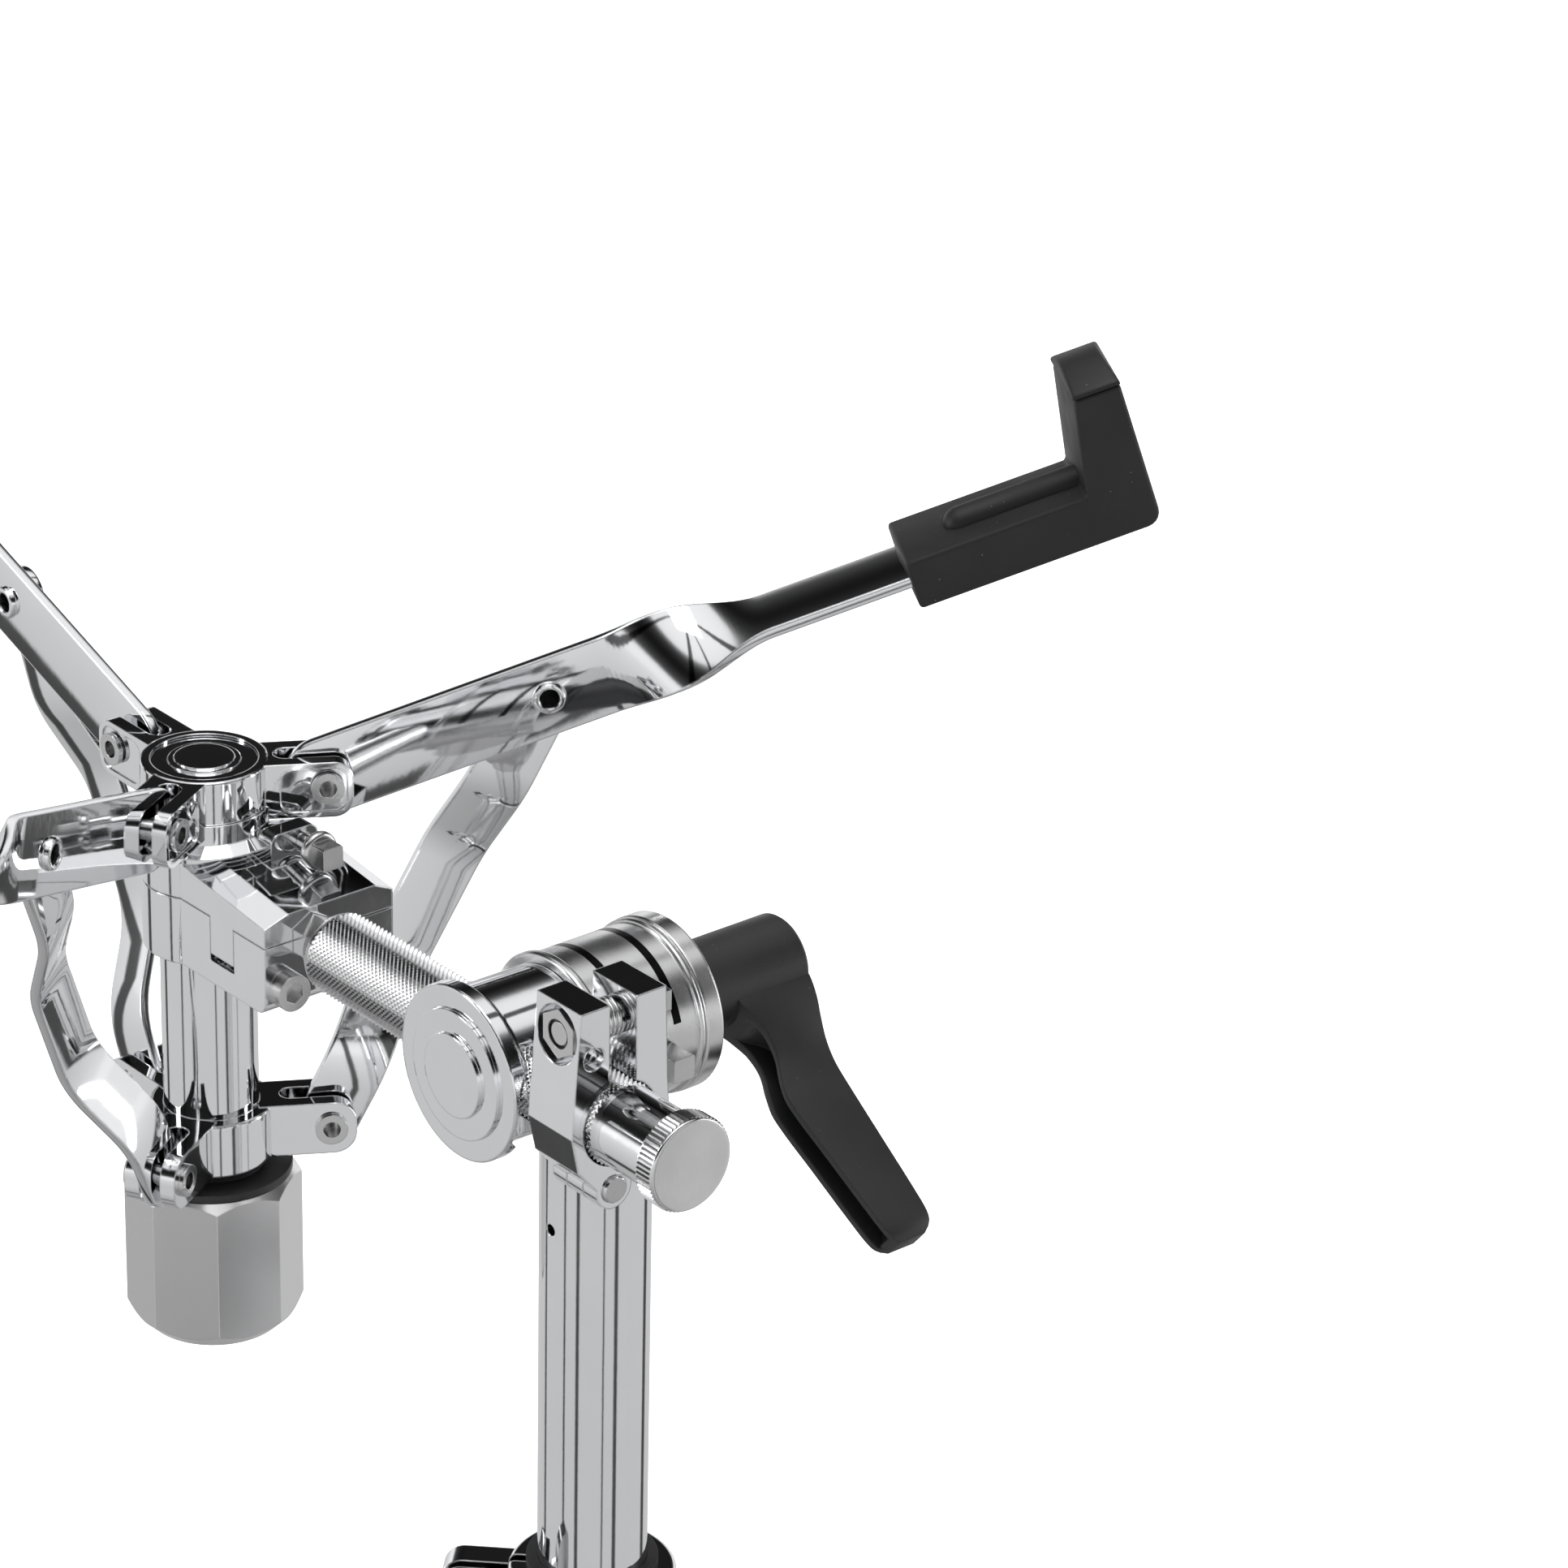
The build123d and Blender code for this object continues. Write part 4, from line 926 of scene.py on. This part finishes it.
@dataclass
class RubberTip:
    """The rubber sleeve at an arm's end, with its ridge, its finger and the moulded cap on the finger.

    Attributes:
        length: From the arm's pivot to the outer face.
        start: From the arm's pivot to the inner end of the sleeve.
        half: Half of the width.
        sleeve: Lowest and highest height of the sleeve, from the middle of the strip.
        crease: Height of the seam between finger and cap.
        vault: How far the cap's middle rises above its sides.
        thick: Thickness of the finger at its root and at the seam.
    """

    length: float
    start: float = 160.0 * MM
    half: float = 14.0 * MM
    sleeve: tuple[float, float] = (-6.7 * MM, 7.1 * MM)
    crease: float = 34.4 * MM
    vault: float = 3.6 * MM
    thick: tuple[float, float] = (17.0 * MM, 12.6 * MM)

    def build(self, number: int, place: Matrix, rubber: bpy.types.Material) -> None:
        """Builds and dresses one tip.

        Args:
            number: The number of its arm.
            place: The arm's frame.
            rubber: Its finish.
        """
        low, high = self.sleeve
        outer, corner = self.length, 4.0 * MM
        outline = [(self.start, low), (self.start, high), (outer - self.thick[0], high)]
        outline += [(outer - self.thick[1], self.crease), (outer, self.crease)]
        for k in range(6):
            turn = math.radians(18.0 * k)
            outline.append((outer - corner * (1 - math.cos(turn)), low + corner * (1 - math.sin(turn))))
        solid = Solid(f"tip_{number}_sleeve", place)
        solid.loft([[Vector((x, y, z)) for x, z in outline] for y in (-self.half, self.half)])
        sleeve = solid.object()
        round_edges(sleeve, 1.1 * MM)
        dress(sleeve, rubber, f"basket_arm_{number}", "black_rubber", f"arm_tip_{number}")
        dress(self.ridge(number, place), rubber, f"basket_arm_{number}", "black_rubber")
        dress(self.cap(number, place), rubber, f"basket_arm_{number}", "black_rubber")

    def ridge(self, number: int, place: Matrix) -> bpy.types.Object:
        """Builds the half-round ridge along the sleeve's top, with its ball end.

        Args:
            number: The number of the arm.
            place: The arm's frame.

        Returns:
            The ridge.
        """
        half, tall, base = 4.6 * MM, 4.2 * MM, self.sleeve[1] - 0.4 * MM
        begin, end = self.start + 13.0 * MM, self.length - self.thick[0] + 1.5 * MM
        turns = [math.radians(a) for a in range(6, 91, 12)]
        sizes = [(begin + half * (1 - math.cos(t)), math.sin(t)) for t in turns]
        sizes.append((end, 1.0))
        rings = []
        for x, size in sizes:
            turns = [math.radians(a) for a in range(0, 181, 12)]
            wide, high = half * size, tall * size
            rings.append([Vector((x, wide * math.cos(t), base + high * math.sin(t))) for t in turns])
        solid = Solid(f"tip_{number}_ridge", place)
        solid.loft(rings)
        return solid.object(50.0)

    def cap(self, number: int, place: Matrix) -> bpy.types.Object:
        """Builds the cap on the finger: a shallow vault, a little proud of the finger all round.

        Args:
            number: The number of the arm.
            place: The arm's frame.

        Returns:
            The cap.
        """
        proud, steps = 0.3 * MM, 20
        inner, outer = self.length - self.thick[1] - proud, self.length + proud
        half = self.half + proud
        rings = []
        for k in range(steps + 1):
            y = half * (2 * k / steps - 1)
            top = self.crease + 1.2 * MM + self.vault * (1 - (y / half) ** 2)
            lean = 0.12 * (top - self.crease)
            corners = [(inner, self.crease), (inner + lean, top)]
            corners += [(outer - lean * 3, top), (outer, self.crease)]
            rings.append([Vector((x, y, z)) for x, z in corners])
        solid = Solid(f"tip_{number}_cap", place)
        solid.loft(rings)
        cap = solid.object()
        round_edges(cap, 0.9 * MM, 45.0)
        return cap


# ---- clamping lever ----------------------------------------------------------------------------------------
@dataclass
class Lever:
    """The moulded lever: a round hub on the tilter's axis and a hollow-backed arm that leans down from it.

    Attributes:
        axis_height: Height of the tilter's axis.
        lean: Degrees that the arm points below +X.
        hub: Radius of the hub.
        profile: The hub along Y: places and radii, from the washer's side.
        arm: Along the arm: distance, nearest and farthest Y, half thickness, and depth of the channel.
        channel: Half width of the channel, as a share of the half thickness.
    """

    axis_height: float = 480.0 * MM
    lean: float = 40.0
    hub: float = 12.0 * MM
    profile: tuple[tuple[float, float], ...] = (
        (22.5, 0.0), (22.5, 9.4), (23.0, 10.0), (25.4, 10.0), (26.6, 12.0), (58.5, 12.0),
        (59.3, 11.4), (59.5, 10.6), (59.5, 8.0), (61.0, 8.0), (61.5, 7.5), (61.5, 5.4),
        (61.2, 5.0), (59.0, 5.0), (59.0, 0.0),
    )
    arm: tuple[tuple[float, float, float, float, float], ...] = (
        (2.0, 35.0, 59.3, 8.0, 0.0), (10.0, 35.8, 59.0, 7.9, 0.0), (15.0, 38.0, 58.2, 7.4, 0.2),
        (20.0, 39.6, 56.8, 6.6, 5.0), (26.0, 39.4, 55.4, 5.6, 8.0), (32.0, 37.4, 54.8, 5.1, 9.0),
        (38.0, 36.4, 55.0, 5.0, 9.5), (55.0, 39.0, 56.0, 5.0, 9.0), (72.0, 41.8, 57.0, 5.0, 7.0),
        (77.0, 42.8, 57.0, 4.9, 4.0), (79.5, 43.8, 56.2, 4.5, 0.2), (81.3, 45.8, 54.2, 3.4, 0.0),
    )
    channel: float = 0.62

    def station(self, x: float) -> tuple[float, ...]:
        """The arm's sizes at a distance along it, on a smooth curve through the given stations.

        Args:
            x: The distance in millimetres.

        Returns:
            Nearest and farthest Y, half thickness, and depth of the channel.
        """
        last = len(self.arm) - 1
        k = next((k for k in range(last) if x <= self.arm[k + 1][0]), last - 1)
        before, start, stop, after = (self.arm[min(max(n, 0), last)] for n in (k - 1, k, k + 1, k + 2))
        span = stop[0] - start[0]
        t = (x - start[0]) / span
        sizes = []
        for a, b, c, d in zip(before[1:], start[1:], stop[1:], after[1:]):
            leave = (c - a) / max(stop[0] - before[0], span) * span
            arrive = (d - b) / max(after[0] - start[0], span) * span
            rise = eased(t)
            value = b + (c - b) * rise + leave * t * (1 - t) ** 2 - arrive * t**2 * (1 - t)
            sizes.append(max(value, 0.0))
        return tuple(sizes)

    def build(self, nylon: bpy.types.Material) -> None:
        """Builds and dresses the lever.

        Args:
            nylon: Its finish.
        """
        middle = Vector((0.0, 0.0, self.axis_height))
        hub = Solid("lever_hub")
        hub.lathe([(y * MM, r * MM) for y, r in self.profile], Axis.Y, middle)
        dress(hub.object(), nylon, "lever", "black_plastic", "clamp_lever")
        place = Matrix.Translation(middle) @ Matrix.Rotation(math.radians(self.lean), 4, "Y")
        arm = Solid("lever_arm", place)
        first, last, steps = self.arm[0][0], self.arm[-1][0], 64
        rings = []
        for k in range(steps + 1):
            x = first + (last - first) * k / steps
            near, far, half, depth = self.station(x)
            slot = half * self.channel
            outline = [(near, -half), (near, -slot), (near + depth, -slot), (near + depth, slot)]
            outline += [(near, slot), (near, half), (far, half), (far, -half)]
            rings.append([Vector((x, y, z)) * MM for y, z in outline])
        arm.loft(rings)
        bmesh.ops.remove_doubles(arm.mesh, verts=arm.mesh.verts, dist=0.02 * MM)
        lever = arm.object()
        round_edges(lever, 0.8 * MM, 50.0)
        dress(lever, nylon, "lever", "black_plastic")


# ---- studio ------------------------------------------------------------------------------------------------
@dataclass
class Studio:
    """The floor, surroundings, lights and camera round the stand.

    Attributes:
        axis_height: Height of the tilter axis, which the camera's aim is counted from.
        azimuth: Camera's bearing in degrees; 0 looks along +Y.
        elevation: Camera's height above the horizon in degrees.
        roll: Camera's turn about its own axis in degrees.
        distance: From the camera to the tilter axis.
        aim: How far right and up of the tilter axis the middle of the picture lies.
        lens: Focal length in millimetres on a 36 mm sensor.
        sky: Brightness of the surroundings by the height of a direction, -1 for down and 1 for up.
        bars: Dark upright bars in the surroundings: bearing from the camera in degrees, and half width.
    """

    axis_height: float = 0.48
    azimuth: float = 49.42
    elevation: float = 25.3
    roll: float = 1.37
    distance: float = 1.501
    aim: tuple[float, float] = (0.0465, 0.05957)
    lens: float = 138.5
    sky: tuple[tuple[float, float], ...] = (
        (-1.0, 0.3), (-0.75, 0.45), (-0.5, 0.6), (-0.3, 0.68), (-0.08, 0.8), (0.08, 0.95), (0.18, 0.6),
        (0.28, 0.06), (0.62, 0.03), (0.72, 0.25), (0.8, 0.9), (1.0, 1.0),
    )
    bars: tuple[tuple[float, float], ...] = (
        (-118.0, 5.0), (-62.0, 2.2), (-33.0, 3.5), (21.0, 1.6), (47.0, 4.0), (76.0, 2.0), (128.0, 6.0),
    )

    def camera_frame(self) -> tuple[Vector, Vector, Vector]:
        """Works out the camera's directions.

        Returns:
            Its right, up and backward directions.
        """
        turn, rise, roll = (math.radians(a) for a in (self.azimuth, self.elevation, self.roll))
        back = Vector((math.sin(turn) * math.cos(rise), -math.cos(turn) * math.cos(rise), math.sin(rise)))
        right = Vector((math.cos(turn), math.sin(turn), 0.0))
        up = back.cross(right)
        leaning_right = right * math.cos(roll) + up * math.sin(roll)
        return leaning_right, back.cross(leaning_right), back

    def set_camera(self) -> None:
        """Makes the camera and gives it to the scene."""
        right, up, back = self.camera_frame()
        data = bpy.data.cameras.new("studio_camera")
        data.lens, data.sensor_width = self.lens, 36.0
        data.clip_start, data.clip_end = 0.05, 60.0
        camera = bpy.data.objects.new("studio_camera", data)
        bpy.context.scene.collection.objects.link(camera)
        middle = Vector((0, 0, self.axis_height))
        place = middle + right * self.aim[0] + up * self.aim[1] + back * self.distance
        turn = Matrix((right, up, back)).transposed().to_4x4()
        camera.matrix_world = Matrix.Translation(place) @ turn
        bpy.context.scene.camera = camera

    def softbox(
        self, name: str, place: Vector, size: tuple[float, float], power: float, mirrored: bool = True
    ) -> None:
        """Hangs a rectangular light that faces the tilter.

        Args:
            name: The light's name.
            place: Its middle.
            size: Its width and height.
            power: Its power in watts.
            mirrored: Whether the polished pieces show it.
        """
        data = bpy.data.lights.new(name, "AREA")
        data.shape, data.size, data.size_y, data.energy = "RECTANGLE", size[0], size[1], power
        light = bpy.data.objects.new(name, data)
        light.location = place
        light.visible_glossy = mirrored
        aim = Vector((0, 0, self.axis_height)) - place
        light.rotation_euler = aim.to_track_quat("-Z", "Y").to_euler()
        bpy.context.scene.collection.objects.link(light)

    def lay_floor(self) -> None:
        """Lays a wide white floor at the feet, which the polished pieces don't mirror."""
        mesh = bpy.data.meshes.new("studio_floor")
        reach = 14.0
        corners = [(-reach, -reach, 0), (reach, -reach, 0), (reach, reach, 0), (-reach, reach, 0)]
        mesh.from_pydata(corners, [], [(0, 1, 2, 3)])
        floor = bpy.data.objects.new("studio_floor", mesh)
        pale = bpy.data.materials.new("studio_floor")
        pale.use_nodes = True
        nodes = Tree(pale.node_tree)
        speckle = nodes.add("ShaderNodeTexNoise", {"Scale": 2.0}).outputs["Fac"]
        shades = {0: speckle, 6: (0.9, 0.9, 0.9, 1), 7: (0.92, 0.92, 0.92, 1)}
        colour = nodes.add("ShaderNodeMix", shades, data_type="RGBA")
        surface = pale.node_tree.nodes["Principled BSDF"]
        pale.node_tree.links.new(colour.outputs[2], surface.inputs["Base Color"])
        surface.inputs["Roughness"].default_value = 0.8
        surface.inputs["Emission Color"].default_value = (1.0, 1.0, 1.0, 1.0)
        surface.inputs["Emission Strength"].default_value = 0.5
        mesh.materials.append(pale)
        floor.visible_glossy = False
        bpy.context.scene.collection.objects.link(floor)

    def surround(self) -> None:
        """Makes the surroundings that the chrome mirrors: bright at the horizon, dark above, grey below."""
        world = bpy.data.worlds.new("studio_air")
        world.use_nodes = True
        world.node_tree.nodes.clear()
        nodes = Tree(world.node_tree)
        way = nodes.add("ShaderNodeTexCoord").outputs["Generated"]
        parts = nodes.add("ShaderNodeSeparateXYZ", {0: way}).outputs
        height = nodes.math("MULTIPLY_ADD", parts[2], 0.5, 0.5)
        curve = nodes.add("ShaderNodeFloatCurve", {"Value": height})
        points = curve.mapping.curves[0].points
        curve.mapping.clip_max_y = 2.0
        while len(points) < len(self.sky):
            points.new(0.5, 0.5)
        for point, (rise, bright) in zip(points, self.sky):
            point.location = (rise * 0.5 + 0.5, bright)
        curve.mapping.update()
        bearing = nodes.math("ARCTAN2", parts[0], nodes.math("MULTIPLY", parts[1], -1.0))
        glow = curve.outputs[0]
        for offset, half in self.bars:
            middle = math.radians(self.azimuth + offset)
            away = nodes.math("SUBTRACT", bearing, middle)
            away = nodes.math("ABSOLUTE", nodes.math("SINE", nodes.math("MULTIPLY", away, 0.5)))
            shade = {0: away, 1: math.radians(half) * 0.4, 2: math.radians(half) * 0.6, 3: 0.12, 4: 1.0}
            glow = nodes.math("MULTIPLY", glow, nodes.add("ShaderNodeMapRange", shade).outputs[0])
        sky = nodes.add("ShaderNodeBackground", {"Color": glow, "Strength": 1.0})
        nodes.add("ShaderNodeOutputWorld", {"Surface": sky.outputs[0]})
        bpy.context.scene.world = world

    def light(self) -> None:
        """Hangs the softboxes."""
        right, up, back = self.camera_frame()
        middle = Vector((0, 0, self.axis_height))
        self.softbox("softbox_left", middle - right * 1.9 + up * 0.5 + back * 0.4, (0.34, 1.6), 7.0)
        self.softbox("softbox_right", middle + right * 2.0 + up * 0.3 - back * 0.2, (0.3, 1.6), 6.0)
        self.softbox("softbox_top", middle + Vector((0, 0, 1.9)), (0.9, 0.9), 7.0)
        overhead = middle - back * 1.2 + Vector((0, 0, 1.6))
        self.softbox("softbox_floor", overhead, (2.6, 2.6), 34.0, mirrored=False)

    def build(self) -> None:
        """Makes the whole studio."""
        bpy.context.scene.view_settings.view_transform = "Standard"
        self.lay_floor()
        self.surround()
        self.light()
        self.set_camera()


# ---- the whole stand ---------------------------------------------------------------------------------------
def dress_nodes(
    frame: dict, finishes: dict[str, bpy.types.Material], special: dict[str, bpy.types.Material]
) -> None:
    """Gives each CAD node the finish of its slot, or a finish of its own.

    Args:
        finishes: Slot name to material.
        special: Node name to material.
    """
    for part in frame["record"]["subparts"]:
        node = frame["nodes"][part["node"]]
        node.data.materials.clear()
        node.data.materials.append(special.get(part["node"], finishes[part["material_slot"]]))


def main() -> None:
    """Loads the frame, dresses every piece, refines some of them, and reports."""
    logging.basicConfig(level=logging.INFO, format="%(name)s: %(message)s")
    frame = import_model()
    slots = {
        "chrome_steel": POLISHED, "satin_chrome": SATIN_PLAIN, "bright_screws": SCREW_STEEL,
        "nut_aluminium": NUT_METAL, "black_rubber": RUBBER, "black_plastic": NYLON,
    }
    finishes = {name: finish.material() for name, finish in slots.items()}
    dress_nodes(frame, finishes, {"tilter_casting": SATIN.material()})
    joints = {joint["name"]: joint for joint in frame["record"]["behaviour"]["joints"]}
    OffsetRod().build(KNURLED.material(), finishes["chrome_steel"], finishes["bright_screws"])
    Basket().build(joints, finishes["chrome_steel"], finishes["black_rubber"])
    Lever().build(finishes["black_plastic"])
    Studio().build()


if __name__ == "__main__":
    main()
